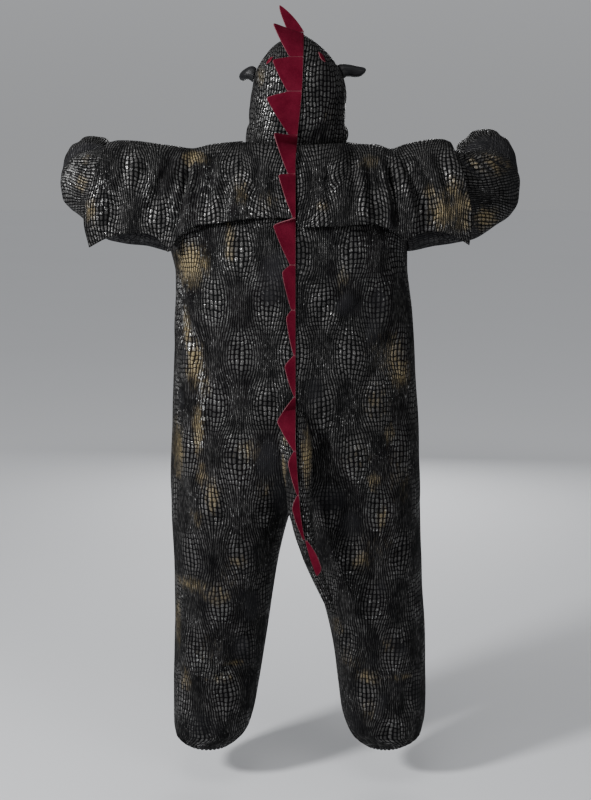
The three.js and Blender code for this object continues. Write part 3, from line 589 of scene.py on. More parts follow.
# how the scales lie on each piece: their size against the body, fill, swell and stagger
SCALE_SIZE = {
    "back": (1.0, 0.0, 0.5),
    "front": (1.0, 0.0, 0.5),
    "sleeve": (1.1, 0.8, 0.4),
    "wing": (0.95, 0.1, 0.5),
    "hood": (1.22, 0.65, 0.25, 0.5),
    "tail": (0.78, 0.5, 0.3),
}

# the studio, in metres: place, aim, size and power of each lamp, where the floor turns paler with a
# painted glow that only the camera sees, and the strength of the air as it lights and as it is seen
LAMPS = (
    ("key lamp", (-2.6, -2.0, 0.9), (-0.1, 0, -0.5), 0.6, 190),
    ("top lamp", (-0.3, -1.6, 2.8), (0, 0, -0.5), 1.8, 34),
    ("fill lamp", (2.4, -2.8, 0.3), (0, 0, -0.6), 1.8, 36),
    ("far lamp", (0.3, 3.2, 0.1), (0, 0, -0.6), 2.0, 60),
)
CAMERA = {"away": 3.2, "pitch": 10.57, "sensor": 36, "lens": 62.0}
FLOOR = {"radius": 30, "pale": (2.6, 4.6)}
AIR_STRENGTH = (0.36, 0.8)

# ------------------------------------------------------------------ reading and shaping


def mix(a, b, share):
    return a + (b - a) * share


def ease(value):
    """0 below 0, 1 above 1, soft from one to the other."""
    t = np.clip(value, 0, 1)
    return t * t * (3 - 2 * t)


def bell(value):
    """1 at 0, falling off softly to both sides."""
    return np.exp(-(value**2))


def xyz(*parts):
    """Points from their three coordinates, of any shapes that fit together."""
    return np.stack(np.broadcast_arrays(*parts), axis=-1)


def unit(way):
    """Vectors brought to a length of 1."""
    return way / np.maximum(np.linalg.norm(way, axis=-1, keepdims=True), 1e-9)


def read(rows, key, at, column):
    """Smooth reading of one named column of a table along its key column."""
    x, y = rows[key], rows[column]
    if x[-1] < x[0]:
        x, y = x[::-1], y[::-1]
    at = np.clip(np.asarray(at, float), x[0], x[-1])
    last = len(x) - 2
    i = np.clip(np.searchsorted(x, at, side="right") - 1, 0, last)
    slope = np.diff(y) / np.diff(x)
    here = slope[i]
    before = np.where(i > 0, (slope[np.maximum(i - 1, 0)] + here) / 2, here)
    after = np.where(i < last, (here + slope[np.minimum(i + 1, last)]) / 2, here)
    before = np.where(before * here <= 0, 0, before)
    after = np.where(after * here <= 0, 0, after)
    span = x[i + 1] - x[i]
    t = (at - x[i]) / span
    t2, t3 = t * t, t * t * t
    return (
        (2 * t3 - 3 * t2 + 1) * y[i]
        + (t3 - 2 * t2 + t) * span * before
        + (3 * t2 - 2 * t3) * y[i + 1]
        + (t3 - t2) * span * after
    )


def evenly(x, y, shares):
    """Points at even shares of the length of a line."""
    run = np.concatenate([[0], np.cumsum(np.hypot(np.diff(x), np.diff(y)))])
    goal = shares * run[-1]
    return np.interp(goal, run, x), np.interp(goal, run, y)


def along_lines(rows, across, height):
    """Relief of bowed creases, each a soft trough or ridge between two faint lips."""
    relief = np.zeros(np.broadcast(across, height).shape)
    for x1, z1, x2, z2, bow, wide, out in zip(*rows.values()):
        dx, dz = x2 - x1, z2 - z1
        length = math.hypot(dx, dz)
        t = ((across - x1) * dx + (height - z1) * dz) / length**2
        inside = np.clip(t, 0, 1)
        aside = ((across - x1) * dz - (height - z1) * dx) / length - bow * 4 * inside * (1 - inside)
        away = aside / (wide * mix(0.75, 1.2, inside))
        fade = ease((t + 0.08) / 0.42) * ease((1.08 - t) / 0.42)
        relief += out * fade * (bell(away) - LIPS * (bell(away - 1.9) + bell(away + 1.9)))
    return relief


def large_folds(x, z, behind):
    """Relief of the folds that the frame has too, a little weaker in front."""
    out = np.zeros(np.broadcast(x, z).shape)
    for x1, z1, x2, z2, wide, high in zip(*FOLDS.values()):
        dx, dz = x2 - x1, z2 - z1
        t = ((x - x1) * dx + (z - z1) * dz) / (dx * dx + dz * dz)
        away = np.hypot(x - x1 - t * dx, z - z1 - t * dz) / wide
        out += high * ease((t + 0.15) / 0.3) * ease((1.15 - t) / 0.3) * bell(away)
    return out if behind else out * 0.8


def patches(rows, x, z):
    """Soft patches of a table, 0 to 1, at places across and up."""
    cover = np.zeros(np.broadcast(x, z).shape)
    for x0, z0, wide, tall, share in zip(*rows.values()):
        away = ((x - x0) / wide) ** 2 + ((z - z0) / tall) ** 2
        cover = np.maximum(cover, share * np.exp(-away * 0.9))
    return cover


def ripple(across, down, pitch, seed):
    """A slow uneven wave, for cloth that is nowhere quite flat."""
    a = np.sin(across / pitch + 1.7 * np.sin(down / (pitch * 2.3) + seed) + seed * 2.1)
    b = np.sin(down / (pitch * 1.4) + 1.3 * np.sin(across / (pitch * 1.9) + seed * 1.3))
    return a * b


def lengthwise(points):
    """Distance along each column of a grid from its first row."""
    step = np.linalg.norm(np.diff(points, axis=0), axis=2)
    return np.concatenate([np.zeros((1, points.shape[1])), np.cumsum(step, axis=0)])


def crosswise(points):
    """Distance along each row of a grid from its first column."""
    step = np.linalg.norm(np.diff(points, axis=1), axis=2)
    return np.concatenate([np.zeros((points.shape[0], 1)), np.cumsum(step, axis=1)], axis=1)


def outward(points, facing, closed=False):
    """Unit normals of a grid."""
    if closed:
        wrapped = np.concatenate([points[:, -2:-1], points, points[:, 1:2]], axis=1)
        across = wrapped[:, 2:] - wrapped[:, :-2]
    else:
        across = np.gradient(points, axis=1)
    return unit(np.cross(across, np.gradient(points, axis=0)) * facing)


class Surface:
    """A fine grid that can be asked for a point anywhere on it."""

    def __init__(self, points, facing):
        self.points = points
        self.normals = outward(points, facing)

    def _blend(self, values, u, v):
        rows, columns = values.shape[0] - 1, values.shape[1] - 1
        x, y = np.clip(u, 0, 1) * columns, np.clip(v, 0, 1) * rows
        i = np.minimum(x.astype(int), columns - 1)
        j = np.minimum(y.astype(int), rows - 1)
        s, t = (x - i)[..., None], (y - j)[..., None]
        top = values[j, i] * (1 - s) + values[j, i + 1] * s
        low = values[j + 1, i] * (1 - s) + values[j + 1, i + 1] * s
        return top * (1 - t) + low * t

    def at(self, u, v, out=0.0):
        """The point at shares across and down, moved out along the normal."""
        u, v = np.broadcast_arrays(np.asarray(u, float), np.asarray(v, float))
        lift = np.broadcast_to(np.asarray(out, float), u.shape)[..., None]
        return self._blend(self.points, u, v) + self._blend(self.normals, u, v) * lift

    def nearest(self, y, z):
        """The shares across and down of the point that is nearest in a view from the side."""
        miss = np.hypot(self.points[..., 1] - y, self.points[..., 2] - z)
        j, i = np.unravel_index(np.argmin(miss), miss.shape)
        return i / (miss.shape[1] - 1), j / (miss.shape[0] - 1)

    def beside(self, place, across, up, out):
        """The point at distances across and up from a place."""
        u, v = place
        wide = np.linalg.norm(self.at(u + 0.02, v) - self.at(u - 0.02, v)) / 0.04
        tall = np.linalg.norm(self.at(u, v + 0.02) - self.at(u, v - 0.02)) / 0.04
        return self.at(u + np.asarray(across) / wide, v + np.asarray(up) / tall, out)


# ------------------------------------------------------------------ meshes


def finished(bm, name, smooth=True):
    """The mesh of a bmesh, which is freed."""
    mesh = bpy.data.meshes.new(name)
    bm.to_mesh(mesh)
    bm.free()
    if smooth:
        mesh.shade_smooth()
    return mesh


def cloth_mesh(name, points, uv, values, flip=False, closed=False):
    """A grid of cloth with its own map in metres and named values on its vertices."""
    rows, columns = points.shape[0] - 1, points.shape[1] - 1
    bm = bmesh.new()
    layers = {key: bm.verts.layers.float.new(key) for key in values}
    flat = bm.loops.layers.uv.new("cloth")
    bmesh.ops.create_grid(bm, x_segments=columns, y_segments=rows, size=0.5)
    where = {}
    for vert in bm.verts:
        where[vert] = (round((0.5 - vert.co.y) * rows), round((vert.co.x + 0.5) * columns))
    for face in bm.faces:
        for loop in face.loops:
            loop[flat].uv = uv[where[loop.vert]]
    for vert, spot in where.items():
        vert.co = points[spot] * MM
        for key, layer in layers.items():
            vert[layer] = values[key][spot]
    if closed:
        bmesh.ops.remove_doubles(bm, verts=bm.verts, dist=2e-6)
    if flip:
        bmesh.ops.reverse_faces(bm, faces=bm.faces)
    return finished(bm, name)


def place_piece(name, mesh, materials, nodes):
    """Links a finished mesh as a piece that stands for its frame nodes."""
    piece = bpy.data.objects.new(name, mesh)
    bpy.context.scene.collection.objects.link(piece)
    for material in materials:
        mesh.materials.append(material)
    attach(piece, "root")
    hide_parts(*nodes)
    return piece


def thicken(piece, wall, inner=0):
    """Gives a sheet its wall, half to each side, with a material of its own inside."""
    solid = piece.modifiers.new("wall", "SOLIDIFY")
    solid.thickness, solid.offset, solid.material_offset = wall, 0, inner


def draw_in(points, start=0.0, end=0.0, top=0.0):
    """Draws the first and last columns and the top row of a grid back from their seams."""
    across = points.swapaxes(0, 1)
    ends = (across[0], across[1], start), (across[-1], across[-2], end), (points[0], points[1], top)
    for line, inner, gap in ends:
        way = inner - line
        size = np.linalg.norm(way, axis=1, keepdims=True)
        line += way / np.maximum(size, 1e-9) * np.minimum(gap, size * 0.5)


# ------------------------------------------------------------------ forms of the garment


def armhole(side, angle, way):
    """A place on the rim of an armhole, by its angle from the top; way is -1 behind, 1 in front."""
    hole = ARMHOLE[side]
    drop = (1 - np.cos(angle)) / 2
    return xyz(
        SIDES[side] * mix(hole["topX"], hole["lowX"], drop),
        way * hole["deep"] * np.sin(angle),
        mix(hole["topZ"], UNDERARM_Z, drop),
    )


def top_edge(side, u, way):
    """Quarter of the neck, then the shoulder seam."""
    sign, hole = SIDES[side], ARMHOLE[side]
    angle = np.clip(u / NECK_SHARE, 0, 1) * math.pi / 2
    deep, low = (NECK["back"], NECK["backZ"]) if way < 0 else (NECK["front"], NECK["frontZ"])
    neck = xyz(
        sign * NECK["half"] * np.sin(angle),
        way * deep * np.cos(angle),
        mix(NECK["sideZ"], low, np.cos(angle) ** 2),
    )
    t = (u - NECK_SHARE) / (1 - NECK_SHARE)
    shoulder = xyz(sign * mix(NECK["half"], hole["topX"], t), 0.0, mix(NECK["sideZ"], hole["topZ"], t))
    return np.where((u <= NECK_SHARE)[..., None], neck, shoulder)


def level_row(side, u, z, way):
    """One level section of a panel, from the centre or the inseam to the side seam."""
    sign = SIDES[side]
    outside = float(read(BODY, "z", z, side))
    deep = float(read(BODY, "z", z, "back" if way < 0 else "front"))
    split = min(max((SEAT_Z - z) / (SEAT_Z - CROTCH_Z), 0), 1)
    inside = float(read(INSEAM, "z", z, side)) if z < CROTCH_Z else float(CROTCH_X * ease(split * 1.6))
    middle = mix(inside, (inside + outside) / 2, split)
    reach = outside - middle
    power = 2 / mix(ROUND_TORSO, ROUND_LEG, split)
    start = math.acos(min(max((middle - inside) / reach, 0), 1) ** (1 / power))
    angle = mix(start, math.pi, np.linspace(0, 1, LINE_STEPS))
    c, s = np.cos(angle), np.maximum(np.sin(angle), 0)
    line_x = middle - reach * np.sign(c) * np.abs(c) ** power
    line_y = deep * s**power
    x, y = evenly(line_x, line_y, u)
    centre = np.sin(math.pi * np.clip(u, 0.02, 0.98))
    y = y + large_folds(sign * x, np.full_like(x, z), way < 0) * np.minimum(1, centre * 2.2)
    hem = float(ease((HEM_GATHERS["from"] - z) / HEM_GATHERS["over"]))
    pulls = np.cos(2 * math.pi * HEM_GATHERS[side] * u + 1.6 * np.sin(5 * u))
    gathers = pulls * HEM_GATHERS["deep"] * hem * np.minimum(1, centre * 6)
    y = y + gathers
    x = x + gathers * np.sign(x - middle) * np.abs(np.cos(math.pi * u))
    return xyz(sign * x, way * y, z)


def yoke_row(side, u, angle, way):
    """One row between the neck and shoulder edge and the underarm, on an arc to the armhole."""
    top = top_edge(side, u, way)
    low = level_row(side, u, UNDERARM_Z, way)
    share = np.array([1 - math.cos(angle), math.sin(angle), 1 - math.cos(angle)])
    plain = top + (low - top) * share
    edge = plain[-1]
    hole = armhole(side, np.array(angle * 2), way)
    return plain + (hole - edge) * ease((u - 0.45) / 0.55)[:, None]


def body_grid(side, way, columns, yoke_rows, rows):
    """The middle layer of a body panel."""
    u = np.linspace(0, 1, columns + 1)
    u = u - 0.05 * np.sin(2 * math.pi * u) / (2 * math.pi) * 2
    # the rows are closer where the hem is gathered
    levels = np.concatenate(
        [np.linspace(UNDERARM_Z, HEM_ROWS_Z + 4, rows - HEM_ROWS), np.linspace(HEM_ROWS_Z, HEM_Z, HEM_ROWS)]
    )
    grid = [yoke_row(side, u, angle, way) for angle in np.linspace(0, math.pi / 2, yoke_rows + 1)[:-1]]
    grid += [level_row(side, u, z, way) for z in levels]
    return soften_seat(np.array(grid), u)


def soften_seat(grid, u):
    """Rounds the turn from the seat to the leg, so that no line runs across the panel."""
    z = grid[:, -1, 2]
    near = bell((z - CROTCH_Z + 10) / 70)[:, None, None] * ease((u - 0.03) / 0.2)[None, :, None]
    for _ in range(SEAT_PASSES):
        middle = grid.copy()
        middle[1:-1] = (grid[:-2] + grid[2:]) / 2
        middle[..., 2] = grid[..., 2]
        grid = grid + (middle - grid) * near
    return grid


def sleeve_line(side, along):
    """Middle line of a sleeve and how far it has turned."""
    spec = SLEEVE[side]
    full = math.radians(spec["turn"])
    turned = np.clip(along / ELBOW_RADIUS, 0, full)
    past = np.maximum(0, along - full * ELBOW_RADIUS)
    x = spec["bend"] + np.minimum(0, along) + ELBOW_RADIUS * np.sin(turned) + past * math.cos(full)
    y = ELBOW_RADIUS * (1 - np.cos(turned)) + past * math.sin(full)
    z = read(SLEEVE_SECTIONS, "along", along, "middle") + spec["puff"] * 0.5 * ease((along - 120) / 60)
    return xyz(x, y, z), turned


def sleeve_grid(side, columns, rows):
    """The middle layer of a sleeve, with the angle and the distance along of each place."""
    sign, spec, hole = SIDES[side], SLEEVE[side], ARMHOLE[side]
    start = (hole["topX"] + hole["lowX"]) / 2 - spec["bend"]
    end = SLEEVE_SECTIONS["along"][-1]
    share = np.linspace(0, 1, rows + 1)
    along = mix(start, end, share - 0.05 * np.sin(2 * math.pi * share) / math.pi)[:, None]
    angle = np.linspace(0, 2 * math.pi, columns + 1)[None, :]
    centre, turned = sleeve_line(side, along)
    heading = unit(sleeve_line(side, along + 4)[0] - sleeve_line(side, along - 4)[0])
    away = xyz(np.sin(turned), -np.cos(turned), 0.0)
    upward = unit(np.cross(away, heading))
    top = read(SLEEVE_SECTIONS, "along", along, "top") + spec["puff"] * 0.5 * ease((along - 150) / 40)
    low = read(SLEEVE_SECTIONS, "along", along, "low") * mix(1, spec["hang"], ease((along - 40) / 70))
    wide = read(SLEEVE_SECTIONS, "along", along, "wide")
    c, s = np.cos(angle), np.sin(angle)
    high = np.where(c > 0, top, low) * np.sign(c) * np.abs(c) ** 0.94
    cuff = ease((along - CUFF["from"]) / CUFF["over"])
    gathers = 1 + CUFF["deep"] * cuff * np.cos(CUFF["pulls"] * angle + 1.2 * np.sin(2 * angle))
    points = centre + upward * (high * gathers)[..., None] + away * (wide * s * gathers)[..., None]
    points[..., 0] *= sign
    half = np.where(angle <= math.pi, angle, 2 * math.pi - angle)
    oval = armhole(side, np.broadcast_to(half, points.shape[:2]), np.where(angle <= math.pi, -1, 1))
    oval[..., 0] += sign * mix(1.3, 2.3, (1 - np.cos(angle)) / 2)
    oval[..., 0] += sign * (along - start)
    points = mix(oval, points, ease((along - start) / 75)[..., None])
    points[:, -1] = points[:, 0]
    return points, np.degrees(angle), along


def wing_grid(side, columns, rows):
    """The middle layer of a wing, and how far out each place is."""
    sign = SIDES[side]
    edge, top = WING_EDGE[side], WING_TOP[side]
    low_out = edge["out"][-1]
    u = np.linspace(0, 1, columns + 1)[None, :]
    v = np.linspace(0, 1, rows + 1)[:, None]
    hole = NECK["half"] + WING_NECK["wider"]
    neck_share = WING_NECK["share"]
    angle = np.clip(u / neck_share, 0, 1) * math.pi / 2
    t = np.clip((u - neck_share) / (1 - neck_share), 0, 1)
    at_neck = u < neck_share
    top_out = np.where(at_neck, hole * np.sin(angle), mix(hole, WING_OUTER[side][0], t))
    top_y = np.where(
        at_neck,
        -(NECK["back"] + WING_NECK["back"]) * np.cos(angle),
        0.16 * np.maximum(0, top_out - SLEEVE[side]["bend"]),
    )
    top_z = np.where(
        at_neck,
        mix(NECK["sideZ"], NECK["backZ"], np.cos(angle) ** 2) + WING_NECK["up"],
        read(top, "out", top_out, "z"),
    )
    low_x = mix(4, low_out, u)
    low_z = read(edge, "out", low_x, "z")
    g = v**1.35
    outer = read(WING_OUTER, "down", g, side)
    lean = (outer - mix(WING_OUTER[side][0], low_out, g)) * ease((u - 0.7) / 0.3)
    out = mix(top_out, low_x, ease(g * 1.15)) + lean
    z = mix(top_z, low_z, g)
    deep = read(WING_DEPTH, "out", out, "deep")
    high = read(WING_DEPTH, "out", out, "high")
    t = np.clip((top_z - z) / high, 0, 1)
    y = mix(top_y, -deep, np.sqrt(1 - (1 - t) ** 2))
    wave = WING_WAVE["deep"] * np.sin(out / WING_WAVE["pitch"]) * g * ease((out - 60) / 60)
    return xyz(sign * np.maximum(out, SEAM_GAP / 2), y - wave, z), out


def spine_x(z):
    """How far the centre seam leans to the side at a height."""
    return read(SPINE_LINE, "z", z, "x")


def hood_grid(side, columns, rows):
    """The middle layer of a hood half, from the centre seam round to the face opening."""
    sign = SIDES[side]
    u = np.linspace(0, 1, columns + 1)
    t = np.linspace(0, 1, LINE_STEPS)
    grid = []
    for v in np.linspace(0, 1, rows + 1):
        step = v * HOOD["step"][-1]
        level, half, back, front, turn = (
            float(read(HOOD, "step", step, column)) for column in ("z", side, "back", "front", "turn")
        )
        seam = float(spine_x(level) * ease(level / 40)) * sign
        parting = float(HOOD_PARTING * ease((v - 0.55) / 0.35))
        angle = t * math.radians(turn)
        c = np.cos(angle)
        line_x = seam * np.cos(angle / 2) ** 2 + half * np.sin(angle).clip(0) ** 0.96 + parting
        line_y = -np.where(c > 0, back, front) * c
        x, y = evenly(line_x, line_y, u)
        forward = np.where(y < 0, np.maximum(y / NECK["back"], -1), np.minimum(y / NECK["front"], 1))
        low = np.where(forward < 0, NECK["backZ"], NECK["frontZ"])
        lift = np.where(forward > 0, HOOD_LIFT["front"], HOOD_LIFT["back"])
        neck_z = (mix(NECK["sideZ"], low, forward**2) + lift) * (1 - ease(v * 3.2))
        ahead = np.clip(y / 100, -1, 1.2)
        crown = np.where(ahead > 0, HOOD_DROP["front"], HOOD_DROP["back"]) * ahead**2 * ease(v) ** 2
        grid.append(xyz(sign * x, y, level + neck_z - crown))
    return np.array(grid)


FORMS = {}


def form(kind, side):
    """The plain form of a hood half, a wing or the front under the placket, worked out once."""
    key = (kind, side)
    if key not in FORMS:
        if kind == "hood":
            FORMS[key] = Surface(hood_grid(side, *FORM_GRID["hood"]), SIDES[side])
        elif kind == "wing":
            FORMS[key] = Surface(wing_grid(side, *FORM_GRID["wing"])[0], -SIDES[side])
        else:
            FORMS[key] = Surface(front_near_placket(side), SIDES[side])
    return FORMS[key]


# ------------------------------------------------------------------ shader groups


class Wire:
    """A value in a node tree, reckoned with as a number is."""

    def __init__(self, nodes, socket):
        self.nodes, self.socket = nodes, socket

    def __add__(self, other):
        return self.nodes.math("ADD", self, other)

    def __sub__(self, other):
        return self.nodes.math("SUBTRACT", self, other)

    def __rsub__(self, other):
        return self.nodes.math("SUBTRACT", other, self)

    def __mul__(self, other):
        return self.nodes.math("MULTIPLY", self, other)

    def __truediv__(self, other):
        return self.nodes.math("DIVIDE", self, other)

    def __pow__(self, other):
        return self.nodes.math("POWER", self, other)

    def __abs__(self):
        return self.nodes.math("ABSOLUTE", self)


class Nodes:
    """Lays nodes in a tree with few words."""

    def __init__(self, tree):
        self.tree = tree
        self.column = 0

    def add(self, kind, inputs=(), **settings):
        node = self.tree.nodes.new(kind if kind.startswith("NodeGroup") else f"ShaderNode{kind}")
        node.location = (self.column * 190, -120 * (self.column % 5))
        self.column += 1
        for key, value in settings.items():
            setattr(node, key, value)
        self.fill(node, dict(inputs))
        return node

    def out(self, kind, output, inputs=(), **settings):
        """One output of a new node."""
        return Wire(self, self.add(kind, inputs, **settings).outputs[output])

    def feed(self, socket, value):
        if isinstance(value, Wire):
            self.tree.links.new(value.socket, socket)
        else:
            socket.default_value = value

    def fill(self, node, values):
        for key, value in values.items():
            self.feed(node.inputs[key], value)

    def math(self, operation, a, b=0.0, clamp=False):
        return self.out("Math", 0, {0: a, 1: b}, operation=operation, use_clamp=clamp)

    def vector(self, operation, a, b):
        return self.out("VectorMath", 0, {0: a, 1: b}, operation=operation)

    def split(self, vector):
        return [Wire(self, part) for part in self.add("SeparateXYZ", {"Vector": vector}).outputs]

    def join(self, x, y, z):
        return self.out("CombineXYZ", 0, {"X": x, "Y": y, "Z": z})

    def between(self, value, low, high):
        """0 below low, 1 above high, smooth from one to the other."""
        limits = {"Value": value, "From Min": low, "From Max": high}
        return self.out("MapRange", "Result", limits, interpolation_type="SMOOTHSTEP")

    def mix(self, share, a, b):
        return self.out("Mix", 0, {0: share, 2: a, 3: b}, data_type="FLOAT")

    def colour(self, share, a, b):
        return self.out("Mix", 2, {0: share, 6: a, 7: b}, data_type="RGBA", clamp_factor=True)

    def noise(self, vector, scale, detail=2.0, roughness=0.5):
        inputs = {"Vector": vector, "Scale": scale, "Detail": detail, "Roughness": roughness}
        return self.out("TexNoise", "Fac", inputs)

    def drift(self, vector, scale, detail):
        """Noise of its own for each direction."""
        return self.out("TexNoise", "Color", {"Vector": vector, "Scale": scale, "Detail": detail})

    def attribute(self, name):
        return self.out("Attribute", "Fac", attribute_type="GEOMETRY", attribute_name=name)

    def flat_place(self):
        """Place on the flat cloth, in metres."""
        return self.out("UVMap", 0, uv_map="cloth")

    def place(self):
        return self.out("TexCoord", "Object")

    def use(self, tree, inputs):
        """A group placed with its own values, and its outputs by name."""
        node = self.add("Group", inputs, node_tree=tree)
        return {socket.name: Wire(self, socket) for socket in node.outputs}


def once(store, name=None):
    """Builds a group or a material only the first time that its name is asked for."""

    def keep(build):
        def fetch(*given):
            label, rest = (name, given) if name else (given[0], given[1:])
            held = getattr(bpy.data, store)
            return held[label] if label in held else build(label, *rest)

        return fetch

    return keep


def open_group(name, inputs):
    """A shader group with its inputs: a number is a default, None stands for a vector."""
    tree = bpy.data.node_groups.new(name, "ShaderNodeTree")
    for label, default in inputs.items():
        kind = "NodeSocketVector" if default is None else "NodeSocketFloat"
        socket = tree.interface.new_socket(label, in_out="INPUT", socket_type=kind)
        if default is not None:
            socket.default_value = default
    n = Nodes(tree)
    return n, {socket.name: Wire(n, socket) for socket in n.add("NodeGroupInput").outputs}


def close_group(n, **values):
    for label in values:
        n.tree.interface.new_socket(label.title(), in_out="OUTPUT", socket_type="NodeSocketFloat")
    n.add("NodeGroupOutput", {label.title(): value for label, value in values.items()})
    return n.tree


@once("node_groups", "embossed scales")
def embossed_scales(name):
    """Croc scales in lens-shaped clusters, with fine flutes between them."""
    n, given = open_group(
        name,
        {
            "Place": None, "Scale Wide": 0.006, "Scale Tall": 0.0112, "Cluster Wide": 0.125,
            "Cluster Tall": 0.235, "Fill": 0.0, "Swell": 0.5, "Stagger": 0.34, "Smooth": 0.0, "Seed": 0.0,
        },
    )
    place, seed = given["Place"], given["Seed"]
    scale_wide, cluster_wide = given["Scale Wide"], given["Cluster Wide"]
    moved = n.vector("ADD", place, n.join(seed, seed, seed))
    wander_x, wander_z, uneven = n.split(n.drift(moved, 6.5, 1.5))
    # each scale is a little out of line with its neighbours
    shift_x, shift_z, _ = n.split(n.drift(moved, 62.0, 1.0))
    x, z, _ = n.split(place)
    x = x + (wander_x - 0.5) * 0.022 + (shift_x - 0.5) * 0.0038
    z = z + (wander_z - 0.5) * 0.04 + (shift_z - 0.5) * 0.009
    turn_x = x / cluster_wide * (2 * math.pi)
    rise_z = n.math("COSINE", z / given["Cluster Tall"] * (2 * math.pi))
    lens = n.math("COSINE", turn_x) * rise_z
    clustered = n.between(lens + (uneven - 0.5) * 1.4 + given["Fill"], -0.35, 0.5)
    # the columns are wide inside a cluster and crowd together between clusters
    swell = n.math("SINE", turn_x) * rise_z * (cluster_wide / scale_wide)
    column = x / scale_wide - swell * (given["Swell"] / (2 * math.pi))
    column_id = n.math("FLOOR", column)
    in_column = abs(n.math("FRACT", column) - 0.5) * 2
    jump = n.out("TexWhiteNoise", "Value", {"W": column_id}, noise_dimensions="1D")
    row = z / given["Scale Tall"] + jump * given["Stagger"]
    row_id = n.math("FLOOR", row)
    in_row = abs(n.math("FRACT", row) - 0.5) * 2
    pair = n.join(column_id, row_id, 0.0)
    tone = n.out("TexWhiteNoise", "Value", {"Vector": pair}, noise_dimensions="2D")
    rib = 1.0 - in_column**2.0
    scale = (1.0 - in_column**2.3) * (1.0 - in_row**4.5 * 0.8)
    small = n.between(n.noise(n.vector("MULTIPLY", place, (1.0, 0.22, 1.0)), 300.0, 1.0), 0.4, 0.64)
    bold = n.between(n.noise(n.vector("MULTIPLY", moved, (1.0, 0.16, 1.0)), 42.0, 2.0), 0.36, 0.62)
    relief = n.mix(clustered, rib * n.mix(small, 0.55, 1.0), scale)
    thread = n.between(rib, 0.35, 1.0) * n.mix(small, 0.4, 1.15)
    thread = thread * n.mix(1.0 - in_row**5.0, 0.72, 1.0) * n.mix(bold, 0.45, 1.0)
    # the emboss fades out in slow uneven patches and where the piece says so, which is partly painted shade
    flat = n.between(n.noise(moved, 9.0, 2.0) + given["Smooth"] * 0.4, 0.58, 0.86)
    keep = 1.0 - flat * 0.58
    height = relief * keep + (n.noise(moved, 420.0, 2.0) - 0.5) * 0.3
    top = n.mix(clustered, thread, n.between(scale, 0.4, 0.95)) * keep
    return close_group(n, height=height, top=top, tone=tone, flat=flat)


@once("node_groups", "soft nap")
def soft_nap(name):
    """Short pile: fine tufts, brushed unevenly."""
    n, given = open_group(name, {"Place": None, "Tuft": 900.0, "Stretch": 0.35})
    x, y, z = n.split(given["Place"])
    fine = n.noise(n.join(x, y * given["Stretch"], z), given["Tuft"], 2.0, 0.6)
    return close_group(n, height=fine, tone=fine * 0.5 + n.noise(given["Place"], 26.0, 3.0) * 0.5)


@once("node_groups", "sewn line")
def sewn_line(name):
    """A line of stitches a set distance from an edge: thread and the dip it draws."""
    n, given = open_group(name, {"Edge": 1.0, "Run": 0.0, "Inset": 0.008, "Pitch": 0.0036})
    away = abs(given["Edge"] - given["Inset"])
    line = 1.0 - n.between(away, 0.0003, 0.0007)
    dash = n.between(n.math("PINGPONG", given["Run"] / given["Pitch"], 0.5), 0.09, 0.16)
    return close_group(n, thread=line * dash, dip=1.0 - n.between(away, 0.0, 0.0022))


@once("node_groups", "felt fibres")
def felt_fibres(name):
    """Matted fibres of felt."""
    n, given = open_group(name, {"Place": None})
    place = given["Place"]
    moved = n.vector("ADD", place, n.vector("MULTIPLY", n.drift(place, 160.0, 2.0), (0.008,) * 3))
    flat = n.noise(n.vector("MULTIPLY", moved, (1.0, 1.0, 0.12)), 1500.0, 3.0)
    steep = n.noise(n.vector("MULTIPLY", moved, (0.14, 0.14, 1.0)), 1300.0, 3.0)
    fibre = n.math("MAXIMUM", flat, steep)
    tone = fibre * 0.6 + n.noise(place, 30.0, 3.0) * 0.4
    return close_group(n, height=fibre, tone=tone, fuzz=n.noise(place, 2200.0, 1.0))


@once("node_groups", "leather grain")
def leather_grain(name):
    """Fine creased grain of leatherette."""
    n, given = open_group(name, {"Place": None})
    place = given["Place"]
    cells = n.out("TexVoronoi", "Distance", {"Vector": place, "Scale": 620.0}, feature="DISTANCE_TO_EDGE")
    height = n.between(cells, 0.0, 0.12) + n.noise(place, 90.0) * 0.6
    return close_group(n, height=height, wear=n.noise(place, 34.0, 4.0))


@once("node_groups", "plain weave")
def plain_weave(name):
    """Threads over and under."""
    n, given = open_group(name, {"Place": None, "Pitch": 0.0006})
    x, y, _ = n.split(given["Place"])
    warp, weft = (n.math("SINE", way / given["Pitch"] * math.pi) for way in (x, y))
    return close_group(n, height=warp * weft * 0.5 + 0.5, tone=n.noise(given["Place"], 60.0, 4.0))


# ------------------------------------------------------------------ materials


def rgba(colour, gain=1.0, lift=0.0):
    """A colour as a socket takes it, made lighter or darker."""
    return (*(min(c * gain + lift, 1) for c in colour), 1)


def new_material(name):
    material = bpy.data.materials.new(name)
    material.use_nodes = True
    material.node_tree.nodes.clear()
    n = Nodes(material.node_tree)
    shader = n.add("BsdfPrincipled")
    n.add("OutputMaterial", {"Surface": Wire(n, shader.outputs["BSDF"])})
    return material, n, shader


def dress(n, shader, looks, height, strength, distance):
    """Feeds the sockets of a shader, and its normal from a relief."""
    bump = n.out("Bump", 0, {"Height": height, "Strength": strength, "Distance": distance})
    n.fill(shader, {**looks, "Normal": bump})


